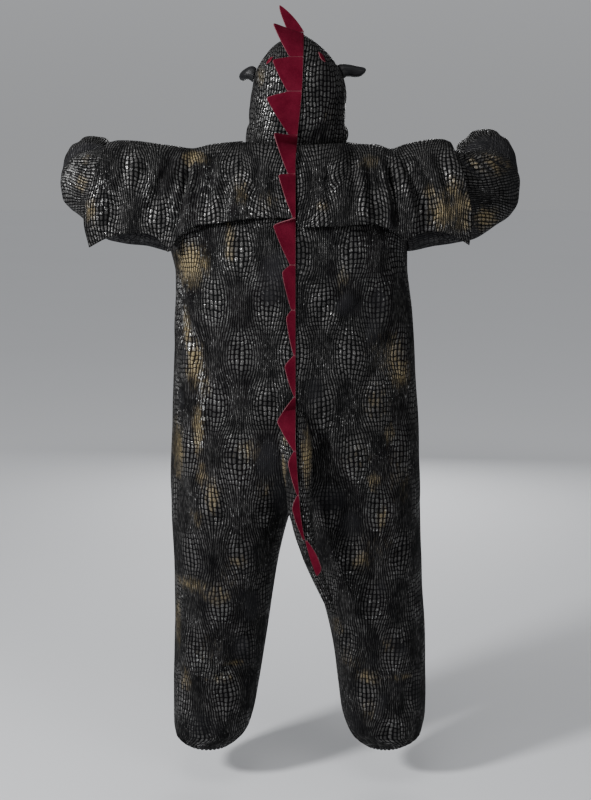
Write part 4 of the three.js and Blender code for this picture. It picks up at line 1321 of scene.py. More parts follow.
@once("materials")
def plush(name, seed, size=1.0, fill=0.0, swell=0.5, stagger=0.34):
    """Black plush embossed with foil-coated scales."""
    colours, sizes = bpy.context.scene.onesie_colours, bpy.context.scene.onesie_sizes
    material, n, shader = new_material(name)
    place = n.flat_place()
    gold_and_highlight_reach, smooth, painted_highlight = (n.attribute(key) for key in ("gold_and_highlight", "plain", "painted_highlight"))
    scales = n.use(
        embossed_scales(),
        {
            "Place": place, "Smooth": smooth, "Seed": seed, "Fill": fill, "Swell": swell, "Stagger": stagger,
            "Scale Wide": sizes.scale_wide * size, "Scale Tall": sizes.scale_tall * mix(1, size, 0.5),
            "Cluster Wide": sizes.cluster_wide * size, "Cluster Tall": sizes.cluster_tall * size,
        },
    )
    nap = n.use(soft_nap(), {"Place": place})
    sewn = n.use(sewn_line(), {"Edge": n.attribute("edge"), "Run": n.attribute("run")})
    top, tone = scales["Top"], scales["Tone"]
    blotch = n.noise(n.vector("MULTIPLY", place, (1.0, 0.3, 1.0)), 130.0, 4.0, 0.7)
    # tan foil: discoloured foil, and in places painted highlight on lit ridges
    gold_and_highlight = n.between(gold_and_highlight_reach + (blotch - 0.5) * 1.7, 0.12, 1.0) * n.between(gold_and_highlight_reach, 0.03, 0.3)
    worn = n.between(n.noise(place, 22.0, 3.0), 0.3, 0.62)
    foil = top * n.mix(tone, 0.5, 1.0) * n.mix(worn, 0.5, 1.0)
    # the painted highlight lightens the foil as well
    foil = n.math("MULTIPLY", foil, n.mix(painted_highlight, 1.03, 1.16), clamp=True) ** 1.35
    # a few scales glint, and more of them as painted highlight where the piece says so
    fleck = n.noise(n.vector("MULTIPLY", place, (1.0, 0.4, 1.0)), 430.0, 1.0) + painted_highlight * 0.16
    where = n.noise(place, 12.0, 2.0) + painted_highlight * 0.3
    bright = n.between(fleck, 0.59, 0.7) * n.between(where, 0.42, 0.62) * n.mix(painted_highlight, 0.5, 1.0)
    glint = bright * top * n.between(tone, 0.2, 0.7)
    # smooth pile where the piece says so, which is partly painted shade
    pile = smooth * n.between(scales["Flat"], 0.2, 0.8)
    base = n.colour(pile, rgba(colours.plush), rgba(colours.pile))
    for share, colour in (
        (foil, colours.foil),
        (glint, colours.glint),
        (gold_and_highlight * n.mix(top, 0.06, 0.95), colours.gold_and_highlight),
        (sewn["Thread"] * 0.7, colours.thread),
    ):
        base = n.colour(share, base, rgba(colour))
    looks = {
        "Base Color": base,
        "Roughness": n.mix(glint, n.mix(foil, 0.8, 0.3), 0.2),
        "Metallic": n.math("MAXIMUM", glint, foil * n.mix(gold_and_highlight, 0.9, 0.4)),
        "Specular IOR Level": 0.06,
    }
    height = scales["Height"] + nap["Height"] * 0.16 - sewn["Dip"] * 0.5
    dress(n, shader, looks, height, 1.0, 0.0024)
    return material


@once("materials", "plush back")
def knit_back(name):
    """The smooth navy-black back of the plush."""
    colour = bpy.context.scene.onesie_colours.back
    material, n, shader = new_material(name)
    nap = n.use(soft_nap(), {"Place": n.flat_place()})
    shade = n.between(nap["Tone"], 0.3, 0.7)
    looks = {
        "Base Color": n.colour(shade, rgba(colour, 0.6), rgba(colour)),
        "Roughness": n.mix(shade, 0.75, 0.9),
        "Specular IOR Level": 0.2,
    }
    dress(n, shader, looks, nap["Height"], 0.4, 0.0006)
    return material


@once("materials")
def felt(name, colour):
    """Matted felt with a paler rim along its cut edge, a painted highlight broken up by the fuzz."""
    material, n, shader = new_material(name)
    fibres = n.use(felt_fibres(), {"Place": n.place()})
    base = n.colour(n.between(fibres["Tone"], 0.35, 0.7), rgba(colour, 0.72), rgba(colour, 1.25, 0.004))
    # painted highlight: the cut edge is made paler all round
    rim = 1.0 - n.between(n.attribute("edge"), 0.0, 0.0011)
    looks = {
        "Base Color": n.colour(rim * n.mix(fibres["Fuzz"], 0.25, 0.8), base, rgba(colour, 1.6, 0.09)),
        "Roughness": n.mix(fibres["Fuzz"], 0.82, 1.0),
        "Specular IOR Level": 0.05,
        "Sheen Weight": 0.02,
        "Sheen Roughness": 0.5,
        "Sheen Tint": rgba(colour, 3, 0.1),
    }
    dress(n, shader, looks, fibres["Height"], 0.55, 0.0005)
    return material


@once("materials", "black leatherette")
def leatherette(name):
    """Satin leatherette, a little rubbed."""
    colour = bpy.context.scene.onesie_colours.horn
    material, n, shader = new_material(name)
    grain = n.use(leather_grain(), {"Place": n.place()})
    wear = n.between(grain["Wear"], 0.4, 0.75)
    looks = {
        "Base Color": n.colour(wear, rgba(colour), rgba(colour, 1.9)),
        "Roughness": n.mix(wear, 0.4, 0.55),
        "Specular IOR Level": 0.26,
    }
    dress(n, shader, looks, grain["Height"], 0.25, 0.0004)
    return material


@once("materials", "placket cloth")
def placket_cloth(name):
    """Plain woven cloth, stitched round its edge."""
    colours = bpy.context.scene.onesie_colours
    material, n, shader = new_material(name)
    weave = n.use(plain_weave(), {"Place": n.flat_place()})
    sewn = n.use(sewn_line(), {"Edge": n.attribute("edge"), "Run": n.attribute("run"), "Inset": 0.0035})
    base = n.colour(weave["Tone"], rgba(colours.placket, 0.7), rgba(colours.placket, 1.3))
    looks = {
        "Base Color": n.colour(sewn["Thread"], base, rgba(colours.thread)),
        "Roughness": n.mix(weave["Height"], 0.9, 0.7),
    }
    dress(n, shader, looks, weave["Height"] * 0.35 - sewn["Dip"] * 0.6, 0.6, 0.0007)
    return material


@once("materials", "button plastic")
def button_plastic(name):
    """Moulded plastic with a faint bloom."""
    colour = bpy.context.scene.onesie_colours.button
    material, n, shader = new_material(name)
    wear = n.use(leather_grain(), {"Place": n.place()})["Wear"]
    looks = {
        "Base Color": n.colour(wear, rgba(colour), rgba(colour, 1.6)),
        "Roughness": n.mix(wear, 0.3, 0.42),
    }
    dress(n, shader, looks, wear, 0.1, 0.0003)
    return material


# ------------------------------------------------------------------ sizes and colours


def size_property(name, description, default, low, high):
    return FloatProperty(
        name=name, description=description, default=default, min=low, max=high,
        subtype="DISTANCE", unit="LENGTH",
    )


def colour_property(name, description, default):
    return FloatVectorProperty(
        name=name, description=description, default=default, size=3, min=0, max=1, subtype="COLOR"
    )


class OnesieSizes(bpy.types.PropertyGroup):
    """Sizes that a maker may change."""

    cloth_wall: size_property("Cloth Wall", "Thickness of the plush", CLOTH * MM, 0.001, 0.004)
    felt_wall: size_property("Felt Wall", "Thickness of the felt", FELT * MM, 0.001, 0.004)
    crease_share: FloatProperty(
        name="Creases", description="How deep the creases are", default=1.0, min=0.0, max=1.5,
        subtype="FACTOR",
    )
    scale_wide: size_property("Scale Width", "Mean width of a column of scales", 0.006, 0.004, 0.02)
    scale_tall: size_property("Scale Height", "Height of a scale", 0.0112, 0.006, 0.03)
    cluster_wide: size_property("Cluster Width", "Width over which clusters of scales repeat", 0.125, 0.04, 0.3)
    cluster_tall: size_property(
        "Cluster Height", "Height over which clusters of scales repeat", 0.235, 0.08, 0.5
    )


class OnesieColours(bpy.types.PropertyGroup):
    """Colours that a maker may change."""

    plush: colour_property("Plush", "Pile between the scales", (0.0017, 0.0017, 0.0021))
    pile: colour_property("Pile", "Pile where the emboss fades out", (0.011, 0.011, 0.0125))
    foil: colour_property("Foil", "Foil on the scales", (0.113, 0.111, 0.109))
    glint: colour_property("Glint", "Brightest foil", (0.72, 0.72, 0.71))
    # tan foil, also used as painted highlight on lit ridges
    gold_and_highlight: colour_property("Gold", "Discoloured foil", (0.245, 0.194, 0.105))
    back: colour_property("Back", "Smooth back of the plush", (0.006, 0.0065, 0.0105))
    thread: colour_property("Thread", "Sewing thread", (0.02, 0.02, 0.022))
    spine: colour_property("Spines", "Felt of the spines", (0.072, 0.0009, 0.0095))
    eye: colour_property("Eyes", "Felt of the eyes", (0.075, 0.0012, 0.009))
    horn: colour_property("Horns", "Leatherette of the horns", (0.006, 0.006, 0.007))
    placket: colour_property("Placket", "Cloth of the placket", (0.006, 0.006, 0.007))
    button: colour_property("Buttons", "Plastic of the buttons", (0.010, 0.010, 0.011))
    air: colour_property("Air", "Light of the studio air overhead", (0.66, 0.67, 0.69))
    floor: colour_property("Floor", "Floor of the studio", (0.62, 0.63, 0.65))


# ------------------------------------------------------------------ cloth pieces


def laid_out(across, down, kind=""):
    """Places of a grid on the roll that it is cut from, in metres."""
    x, y = ROLL_START.get(kind, (0, 0))
    return np.stack([across * MM + x, down * MM + y], axis=-1)


def raised(points, facing, relief, closed=False):
    """A grid moved out along its normals."""
    return points + outward(points, facing, closed) * relief[..., None]


def marks(x, z, gold_and_highlight, painted_highlight, edge, run, plain=0.0, share=1.0):
    """Named values of plush: patches of gold foil that is partly painted highlight, of painted highlight, of
    smooth pile that is partly painted shade, and where its edge and stitches run.
    """
    return {
        "gold_and_highlight": patches(gold_and_highlight, x, z) * share,
        "painted_highlight": patches(painted_highlight, x, z) * share,
        "plain": plain + np.zeros_like(z),
        "edge": np.clip(edge * MM, 0, EDGE_REACH),
        "run": run * MM,
    }


def cloth_piece(name, points, uv, values, facing, nodes=(), closed=False):
    """A sheet of plush with its wall and its smooth back inside."""
    kind = name.split("_")[0]
    mesh = cloth_mesh(name, points, uv, values, flip=facing > 0, closed=closed)
    face = plush(f"scale plush {ROLL_SPOT[name]:g}", ROLL_SPOT[name], *SCALE_SIZE[kind])
    slot = "wing_plush" if kind == "wing" else "scale_plush"
    piece = place_piece(f"{name}_cloth", mesh, [face, knit_back()], nodes or [name])
    thicken(piece, bpy.context.scene.onesie_sizes.cloth_wall, inner=1)


def body_piece(side, way):
    """One body panel, creased, drawn in at its seams and laid out on its pattern."""
    kind = "back" if way < 0 else "front"
    name = f"{kind}_{side}"
    columns, yoke_rows, rows = GRID[kind]
    points = body_grid(side, way, columns, yoke_rows, rows)
    x, z = points[..., 0], points[..., 2]
    share = np.linspace(0, 1, columns + 1)[None, :]
    run = crosswise(points) + np.abs(points[:, :1, 0])
    fall = lengthwise(points)
    down = -UNDERARM_Z + fall - fall[yoke_rows : yoke_rows + 1]
    down[yoke_rows:] = -z[yoke_rows:]
    from_centre = ease((run - np.abs(points[:, :1, 0])) / 60)
    edge_fade = ease(share / 0.06) * ease((1 - share) / 0.05)
    creases = along_lines(BACK_CREASES if way < 0 else FRONT_CREASES, x, z)
    slow = ripple(run, down, 34, WAVE_START[name]) * 1.1
    hem = ease((z + 1420) / 30)
    relief = (creases + slow) * edge_fade * mix(0.3, 1, from_centre) * hem
    relief *= bpy.context.scene.onesie_sizes.crease_share
    if way < 0:
        relief = np.where(relief > 0, relief * mix(0.15, 1, from_centre), relief)
    # the seams draw the cloth in
    length = run[:, -1:] - run[:, :1]
    to_side = run[:, -1:] - run
    relief -= SEAM_DIP * bell(to_side / SEAM_REACH) * ease((down - 330) / 60)
    relief -= SEAM_DIP * bell(share * length / SEAM_REACH) * ease((-z - 880) / 40)
    points = raised(points, SIDES[side] * way, relief * ease(fall / 10))
    draw_in(points, start=SEAM_GAP / 2, end=SEAM_GAP / 2, top=SEAM_GAP / 2)
    # below the seat the pattern runs down from the side seam
    seat = int(np.argmin(np.abs(z[:, -1] - SEAT_Z)))
    run[seat:] = run[seat, -1] - to_side[seat:] + np.abs(x[seat:, -1:]) - np.abs(x[seat, -1])
    uv = laid_out(SIDES[side] * run, -down)
    gold_and_highlight, painted_highlight = (GOLD_AND_HIGHLIGHT_BODY, PAINTED_HIGHLIGHT_BODY) if way < 0 else (GOLD_FRONT, NO_PATCH)
    # smooth pile in patches, partly painted shade, and as painted shade a little less foil down the legs
    plain = np.maximum(patches(SMOOTH_AND_SHADE_BODY, x if way < 0 else -x, z), 0.3 * ease((-z - 780) / 200))
    values = marks(x, z, gold_and_highlight, painted_highlight, z - HEM_Z, run, plain)
    cloth_piece(name, points, uv, values, SIDES[side] * way, nodes=[name, f"leg_{name}"])


class ONESIE_OT_body(bpy.types.Operator):
    """Adds the two back and two front panels from shoulder to ankle"""

    bl_idname = "onesie.body"
    bl_label = "Body Panels"

    def execute(self, context):
        for side in SIDES:
            for way in (-1, 1):
                body_piece(side, way)
        return {"FINISHED"}


def smooth_sleeve(side, degrees, reach, pleat_shade):
    """Where the emboss of a sleeve dies out, as painted shade: under the arm, past the elbow below its far top
    and in the pleat troughs; and faintly over all the right sleeve.
    """
    upper_arm = ease((60 - reach) / 40)
    under = ease((degrees - mix(142, 100, upper_arm)) / 24) * ease((300 - degrees) / 40)
    far_top = ease((reach - 186) / 14) * ease((75 - np.minimum(degrees, 360 - degrees)) / 25)
    under = np.maximum(under, ease((reach - 146) / 10) * (1 - 0.85 * far_top))
    if side == "right":
        under = np.maximum(under, 0.4 * ease((reach + 5) / 30) * (1 - far_top))
    return np.maximum(under, pleat_shade)


class ONESIE_OT_sleeves(bpy.types.Operator):
    """Adds the two sleeves, set in the armholes and gathered at the cuffs"""

    bl_idname = "onesie.sleeves"
    bl_label = "Sleeves"

    def execute(self, context):
        for side, sign in SIDES.items():
            name = f"sleeve_{side}"
            points, angle, along = sleeve_grid(side, *GRID["sleeve"])
            degrees, reach = (np.broadcast_to(way, points.shape[:2]) for way in (angle, along))
            relief = along_lines(SLEEVE_CREASES, degrees, reach)
            for turn in (-360, 360):
                relief += along_lines(SLEEVE_CREASES, degrees + turn, reach)
            pleats = along_lines(ELBOW_PLEATS[side], degrees, reach)
            relief += pleats
            relief += ripple(degrees * 1.4, reach, 22, WAVE_START[name]) * 0.9
            relief *= ease((along - along[0] - 4) / 22) * ease((296 - along) / 14)
            relief *= context.scene.onesie_sizes.crease_share
            points = raised(points, sign, relief, closed=True)
            points[:, -1] = points[:, 0]
            run, down = crosswise(points), lengthwise(points)
            uv = laid_out(run, down, "sleeve")
            behind = ease((60 - points[..., 1]) / 60)
            # painted shade: the pleat troughs lose their foil
            pleat_shade = ease((-pleats - 1.5) / 5)
            plain = smooth_sleeve(side, degrees, reach, pleat_shade)
            values = marks(
                points[..., 0], points[..., 2], GOLD_AND_HIGHLIGHT_SLEEVE, PAINTED_HIGHLIGHT_SLEEVE, down[-1:] - down, run, plain, behind
            )
            # the tan is kept off the pleat troughs, which leaves it as painted highlight on the pleat ridges
            values["gold_and_highlight"] *= 1 - pleat_shade
            cloth_piece(name, points, uv, values, sign, closed=True)
        return {"FINISHED"}


class ONESIE_OT_wings(bpy.types.Operator):
    """Adds the two scalloped wings, caught at the neck and shoulder and free below"""

    bl_idname = "onesie.wings"
    bl_label = "Wings"

    def execute(self, context):
        for side, sign in SIDES.items():
            name = f"wing_{side}"
            points, out = wing_grid(side, *GRID["wing"])
            down = np.linspace(0, 1, points.shape[0])[:, None]
            z = points[..., 2]
            relief = 1.5 * along_lines(WING_CREASES, out * WING_FLUTES[side], z)
            relief += ripple(out, -z, 21, WAVE_START[name])
            relief *= ease(down / 0.16) * ease((out - 26) / 40)
            relief *= context.scene.onesie_sizes.crease_share
            # the free edge turns out a little
            relief += 1.2 * bell((1 - down) / 0.035) * ease((out - 26) / 20)
            points = raised(points, -sign, relief)
            run, fall = crosswise(points), lengthwise(points)
            uv = laid_out(sign * out, -fall, "wing")
            values = marks(points[..., 0], z, GOLD_WING, PAINTED_HIGHLIGHT_WING, fall[-1:] - fall, run)
            cloth_piece(name, points, uv, values, -sign)
        return {"FINISHED"}


class ONESIE_OT_hood(bpy.types.Operator):
    """Adds the two halves of the hood"""

    bl_idname = "onesie.hood"
    bl_label = "Hood"

    def execute(self, context):
        for side, sign in SIDES.items():
            name = f"hood_{side}"
            points = hood_grid(side, *GRID["hood"])
            run = crosswise(points)
            z = points[..., 2]
            share = np.linspace(0, 1, points.shape[1])[None, :]
            up = np.linspace(0, 1, points.shape[0])[:, None]
            relief = along_lines(HOOD_CREASES, run, z) + ripple(run, z, 26, WAVE_START[name]) * 0.9
            relief *= ease(run / 30) * ease((1 - share) / 0.08) * ease(up / 0.08) * ease((1 - up) / 0.08)
            relief *= context.scene.onesie_sizes.crease_share
            # the edge round the face stands up a little
            relief += 1.1 * bell((1 - share) / 0.03) * ease((1 - up) / 0.15)
            points = raised(points, sign, relief)
            draw_in(points, start=0.05)
            rise = lengthwise(points)
            uv = laid_out(sign * run, rise, "hood")
            behind = ease((30 - points[..., 1]) / 30)
            values = marks(points[..., 0], z, GOLD_HOOD, PAINTED_HIGHLIGHT_HOOD, run[:, -1:] - run, rise, share=behind)
            cloth_piece(name, points, uv, values, sign)
        return {"FINISHED"}


# ------------------------------------------------------------------ felt


def line_y(points, z):
    """How far back a line of points lies at given heights, 0 beyond its ends."""
    order = np.argsort(points[:, 2])
    return np.interp(z, points[order, 2], points[order, 1], left=0, right=0)


def ridge(z):
    """The outermost cloth on the centre-back line at a height."""
    z = np.atleast_1d(np.asarray(z, float))
    on_tail = z < TAIL["z"][0]
    x = np.where(on_tail, read(TAIL, "z", z, "x"), spine_x(z))
    y = line_y(form("hood", "left").points[:, 0], z)
    y = np.minimum(y, line_y(form("wing", "left").points[:, 0], z))
    body = np.array([level_row("left", np.zeros(1), min(h, UNDERARM_Z), -1)[0, 1] for h in z])
    y = np.where(z < WING_END, np.minimum(y, body), y)
    low, high = NAPE["low"], NAPE["high"]
    at_nape = (z < high) & (z > low)
    y = y - np.where(at_nape, NAPE["out"] * np.sin(math.pi * (z - low) / (high - low)), 0)
    tail = read(TAIL, "z", z, "y") - read(TAIL, "z", z, "deep")
    y = np.where(on_tail, np.minimum(y, tail), y)
    return xyz(x, y - CLOTH / 2 - FELT / 2 - SPIKE_LIFT, z)


def spike_grid(index, columns, rows):
    """One felt spine, from the seam to its outer edge."""
    row = {key: column[index] for key, column in SPIKES.items()}
    notches = SPIKES["notch"]
    before = min(notches[index - 1] if index else 2 * notches[0], notches[0])
    side = 1 if row["x"] > ridge(row["z"])[0, 0] else -1
    tip_at = min(max((row["top"] - row["z"]) / (row["top"] - row["low"]), 0.06), 0.5)
    tip = ridge((row["top"] + row["low"]) / 2)[0]
    tip = np.array([row["x"], tip[1] - row["out"], row["z"]])
    start, end = ridge(row["top"])[0], ridge(row["low"])[0]
    start[0] += side * before
    end[0] += side * row["notch"]
    upper = max(3, int(rows * max(tip_at, 0.2)))
    v = np.concatenate(
        [np.linspace(0, tip_at, upper, endpoint=False), np.linspace(tip_at, 1, rows - upper + 1)]
    )
    base = ridge(mix(row["top"], row["low"], v))
    first = (v / tip_at)[:, None]
    second = ((v - tip_at) / (1 - tip_at))[:, None]
    above = first <= 1
    edge = np.where(above, mix(start, tip, first), mix(tip, end, second))
    full = np.where(
        above, np.sin(math.pi * np.minimum(first, 1)), np.sin(math.pi * np.maximum(second, 0))
    )
    edge[:, 0] += side * SPIKE_BULGE * full[:, 0]
    if index == len(notches) - 1:
        edge[:, 0] += side * LEAF * full[:, 0]
    if index == 0:
        edge[:, 2] += np.where(above, CROWN_REACH * full, 0)[:, 0]
    for _ in range(2):
        edge[1:-1] = (edge[:-2] + 2 * edge[1:-1] + edge[2:]) / 4
    u = np.linspace(0, 1, columns + 1)[None, :, None]
    points = mix(base[:, None], edge[:, None], u)
    if index == 0:
        points[..., 2] += CROWN_REACH * ease(1 - v / 0.2)[:, None] * (1 - u[..., 0])
    curl = SPIKE_CURL * np.sin(v * math.pi * 1.6 + index) * ease(v / 0.2) * ease((1 - v) / 0.2)
    points[..., 1] -= (np.abs(curl)[:, None]) * u[..., 0] ** 2
    # each end reaches a little into the seam
    points[0, :, 2] += SPIKE_END
    points[-1, :, 2] -= SPIKE_END
    return points, side


def crown_grid(columns, rows):
    """The first spine, upright on the crown of the hood."""
    start, end, tip = (np.array(CROWN_SPIKE[k], float) for k in ("right", "left", "tip"))
    u = np.linspace(0, 1, columns + 1)[None, :, None]
    v = np.linspace(0, 1, rows + 1)[:, None, None]
    middle = (start + end) / 2
    narrow = np.maximum(0.05, (1 - u) ** 0.6)
    points = (mix(start, end, v) - middle) * narrow + mix(middle, tip, u)
    points[..., 0] += (3.5 * np.sin(math.pi * u) * (1 - v))[..., 0]
    return points


def felt_piece(name, points, facing, material):
    """A sheet of felt with a softened cut edge, its size taken from its own grid."""
    run, down = crosswise(points), lengthwise(points)
    uv = laid_out(run, down)
    inwards = np.minimum(np.minimum(run, run[:, -1:] - run), np.minimum(down, down[-1:] - down))
    mesh = cloth_mesh(name, points, uv, {"edge": inwards * MM}, flip=facing > 0)
    piece = place_piece(f"{name}_felt", mesh, [material], [name])
    thicken(piece, bpy.context.scene.onesie_sizes.felt_wall)
    soft = piece.modifiers.new("soft edge", "BEVEL")
    soft.width, soft.segments = FELT_EDGE * MM, 2
    soft.limit_method, soft.angle_limit = "ANGLE", math.radians(50)


class ONESIE_OT_spines(bpy.types.Operator):
    """Adds the fourteen felt spines down the centre seam"""

    bl_idname = "onesie.spines"
    bl_label = "Spines"

    def execute(self, context):
        material = felt("spine felt", context.scene.onesie_colours.spine)
        felt_piece("spike_01", crown_grid(*GRID["crown"]), -1, material)
        for index in range(len(SPIKES["top"])):
            points, side = spike_grid(index, *GRID["spike"])
            felt_piece(f"spike_{index + 2:02d}", points, side, material)
        return {"FINISHED"}


def eye_grid(side, columns, rows):
    """A domed almond on the hood."""
    spec, hood = EYES[side], form("hood", side)
    place = hood.nearest(spec["y"], spec["z"])
    tilt = math.radians(spec["tilt"])
    u = np.linspace(0, 1, columns + 1)[None, :]
    v = np.linspace(0, 1, rows + 1)[:, None]
    along = (u - 0.5) * spec["length"]
    aside = (v - 0.5) * spec["width"] * np.maximum(0.08, np.sin(math.pi * u) ** 0.9)
    across = along * math.cos(tilt) + aside * math.sin(tilt)
    up = -along * math.sin(tilt) + aside * math.cos(tilt)
    dome = 0.8 * np.sin(math.pi * u) * np.sin(math.pi * v)
    return hood.beside(place, across, up, CLOTH / 2 + EYE_GAP + FELT / 2 + dome)


class ONESIE_OT_eyes(bpy.types.Operator):
    """Adds the two felt eyes on the hood"""

    bl_idname = "onesie.eyes"
    bl_label = "Eyes"

    def execute(self, context):
        material = felt("eye felt", context.scene.onesie_colours.eye)
        for side, sign in SIDES.items():
            felt_piece(f"eye_{side}", eye_grid(side, *GRID["eye"]), sign, material)
        return {"FINISHED"}


# ------------------------------------------------------------------ stuffed pieces


def horn_rings(side, columns):
    """Rings round a horn, from the hood along its bend to near its tip."""
    sign, spec, hood = SIDES[side], HORNS[side], form("hood", side)
    place = hood.nearest(spec["y"], spec["z"])
    angle = np.linspace(0, 2 * math.pi, columns + 1)
    c, s = np.cos(angle), np.sin(angle)
    out = CLOTH / 2 + HORN_GAP
    rings, reached = [hood.beside(place, -spec["radius"] * c, spec["radius"] * s, out)], 0.0
    middle = hood.beside(place, 0.0, 0.0, out)
    away = unit(middle - hood.beside(place, 0.0, 0.0, 0.0))
    sweep = math.radians(spec["sweep"])
    swept = np.array([sign * math.cos(sweep), -math.sin(sweep), 0])
    for length, rise, radius in zip(*HORN_ROWS.values()):
        share = length / HORN_ROWS["length"][-1]
        heading = unit(mix(away, swept, float(ease((length - 6) / 34))))
        middle = middle + heading * (length - reached)
        reached = length
        level = unit(np.cross([0, 0, 1], heading)) * -sign
        upward = np.cross(level, heading) * sign
        radius *= 1 - spec["taper"] * share**1.5
        ring = middle + np.outer(c, level) * radius + np.outer(s, upward) * radius
        ring[:, 2] += rise - spec["droop"] * share**2 + spec["lift"] * (1 - share)
        rings.append(ring)
    return rings


class ONESIE_OT_horns(bpy.types.Operator):
    """Adds the two stuffed horns"""

    bl_idname = "onesie.horns"
    bl_label = "Horns"

    def execute(self, context):
        for side, sign in SIDES.items():
            rings = horn_rings(side, GRID["horn"])
            first, last = rings[0], rings[-1]
            root, before, end = (ring[:-1].mean(axis=0) for ring in (first, rings[-2], last))
            beyond = end - before
            points = np.array(
                [
                    np.broadcast_to(root, first.shape),
                    mix(root, first, 0.9),
                    *rings,
                    mix(last, end, 0.55) + beyond * 0.25,
                    np.broadcast_to(end + beyond * 0.35, last.shape),
                ]
            )
            points[:, -1] = points[:, 0]
            uv = laid_out(crosswise(points), lengthwise(points))
            mesh = cloth_mesh(f"horn_{side}", points, uv, {}, flip=sign > 0, closed=True)
            piece = place_piece(
                f"horn_{side}_stuffed", mesh, [leatherette()], [f"horn_{side}"]
            )
            smooth = piece.modifiers.new("smooth", "SUBSURF")
            smooth.levels = smooth.render_levels = 2
        return {"FINISHED"}


def tail_grid(side, columns, rows):
    """A tail half, closed over its flat inner side and at both ends."""
    sign = SIDES[side]
    z = np.linspace(TAIL["z"][0], TAIL["z"][-1], rows + 1)[:, None]
    x0, y0, wide, deep = (read(TAIL, "z", z, k) for k in ("x", "y", "wide", "deep"))
    angle = np.linspace(-math.pi / 2, math.pi / 2, columns + 1)[None, :]
    lumps = 1 + 0.035 * ripple(angle * 20 + 0 * z, z, 13, 0.6 + sign) - 0.02
    seam = 1 - 0.10 * bell((math.pi / 2 - np.abs(angle)) / 0.22)
    x = x0 + sign * (SEAM_GAP / 2 + wide * np.cos(angle) * lumps)
    y = y0 + deep * np.sin(angle) * seam * mix(1, lumps, np.cos(angle))
    skin = xyz(x, y, z)
    inner = [mix(skin[:, -1], skin[:, 0], t) for t in np.linspace(0, 1, 7)[1:]]
    points = np.concatenate([skin, np.stack(inner, axis=1)], axis=1)
    centre = points[:, :-1].mean(axis=1, keepdims=True)
    top, tip = (np.broadcast_to(end, points[:1].shape) for end in (centre[:1], centre[-1:]))
    return np.concatenate([top, points, tip])


class ONESIE_OT_tail(bpy.types.Operator):
    """Adds the two stuffed halves of the tail"""

    bl_idname = "onesie.tail"
    bl_label = "Tail"

    def execute(self, context):
        for side, sign in SIDES.items():
            points = tail_grid(side, *GRID["tail"])
            x, z = points[..., 0], points[..., 2]
            run = crosswise(points)
            uv = laid_out(sign * run, z, "tail")
            no_edge = np.full_like(z, EDGE_REACH / MM)
            values = marks(x, z, GOLD_TAIL, NO_PATCH, no_edge, run)
            # painted highlight on the lower tail: brighter foil and more glints
            values["painted_highlight"] = 0.25 * ease((-z - 740) / 80)
            mesh = cloth_mesh(f"tail_{side}", points, uv, values, flip=sign < 0, closed=True)
            face = plush("tail plush", ROLL_SPOT["tail"], *SCALE_SIZE["tail"])
            piece = place_piece(f"tail_{side}_stuffed", mesh, [face], [f"tail_{side}"])
        return {"FINISHED"}


# ------------------------------------------------------------------ closure


def front_near_placket(side):
    """The strip of a front panel under the placket, from the neck down."""
    columns, yoke_rows, rows = FORM_GRID["front"]
    u = np.linspace(0, PLACKET["half"] / FRONT_WIDE, columns + 1)
    grid = [yoke_row(side, u, angle, 1) for angle in np.linspace(0, math.pi / 2, yoke_rows + 1)[:-1]]
    grid += [level_row(side, u, z, 1) for z in np.linspace(UNDERARM_Z, PLACKET["strip"], rows + 1)]
    return np.array(grid)


def placket_grid(columns, rows):
    """The middle layer of the placket, from just under the neck to its low end."""
    left, right = form("front", "left"), form("front", "right")
    heights = left.points[:, 0, 2]
    low = float(np.interp(PLACKET["low"], heights[::-1], np.linspace(1, 0, len(heights))))
    v = np.linspace(PLACKET["top"], low, rows + 1)[:, None]
    across = np.linspace(-1, 1, columns + 1)[None, :]
    out = CLOTH / 2 + PLACKET["gap"] + PLACKET["wall"] / 2
    return np.where(
        (across < 0)[..., None],
        left.at(np.abs(across), v, out),
        right.at(np.abs(across), v, out),
    )


def settle(bm):
    """Puts vertices, edges and faces in an order that is the same in each run."""
    for items, place in (
        (bm.verts, lambda vert: vert.co[:]),
        (bm.edges, lambda edge: sorted(vert.co[:] for vert in edge.verts)),
        (bm.faces, lambda face: face.calc_center_median()[:]),
    ):
        for rank, item in enumerate(sorted(items, key=place)):
            item.index = rank
        items.sort()


def button_mesh(number, middle, normal):
    """A four-hole button with a raised rim, turned on a lathe profile."""
    radius, half = BUTTON["radius"] * MM, BUTTON["thick"] / 2 * MM
    bm = bmesh.new()
    verts = [bm.verts.new((r * radius, 0, h * half)) for r, h in BUTTON_PROFILE]
    edges = [bm.edges.new(pair) for pair in zip(verts, verts[1:])]
    bmesh.ops.spin(
        bm, geom=verts + edges, cent=(0, 0, 0), axis=(0, 0, 1), angle=2 * math.pi, steps=36, use_merge=True
    )
    bmesh.ops.remove_doubles(bm, verts=bm.verts, dist=1e-6)
    hole = radius * 0.09
    for k in range(4):
        turn = math.radians(45 + 90 * k)
        made = bmesh.ops.create_cone(
            bm, cap_ends=True, segments=12, radius1=hole, radius2=hole, depth=half * 0.5
        )
        spot = Vector((math.cos(turn), math.sin(turn), 0)) * radius * 0.25
        bmesh.ops.translate(bm, verts=made["verts"], vec=spot + Vector((0, 0, half * 0.05)))
    settle(bm)
    bmesh.ops.recalc_face_normals(bm, faces=bm.faces)
    turn = Vector((0, 0, 1)).rotation_difference(normal).to_matrix()
    bmesh.ops.rotate(bm, verts=bm.verts, cent=(0, 0, 0), matrix=turn)
    bmesh.ops.translate(bm, verts=bm.verts, vec=middle)
    return finished(bm, f"button_{number}")


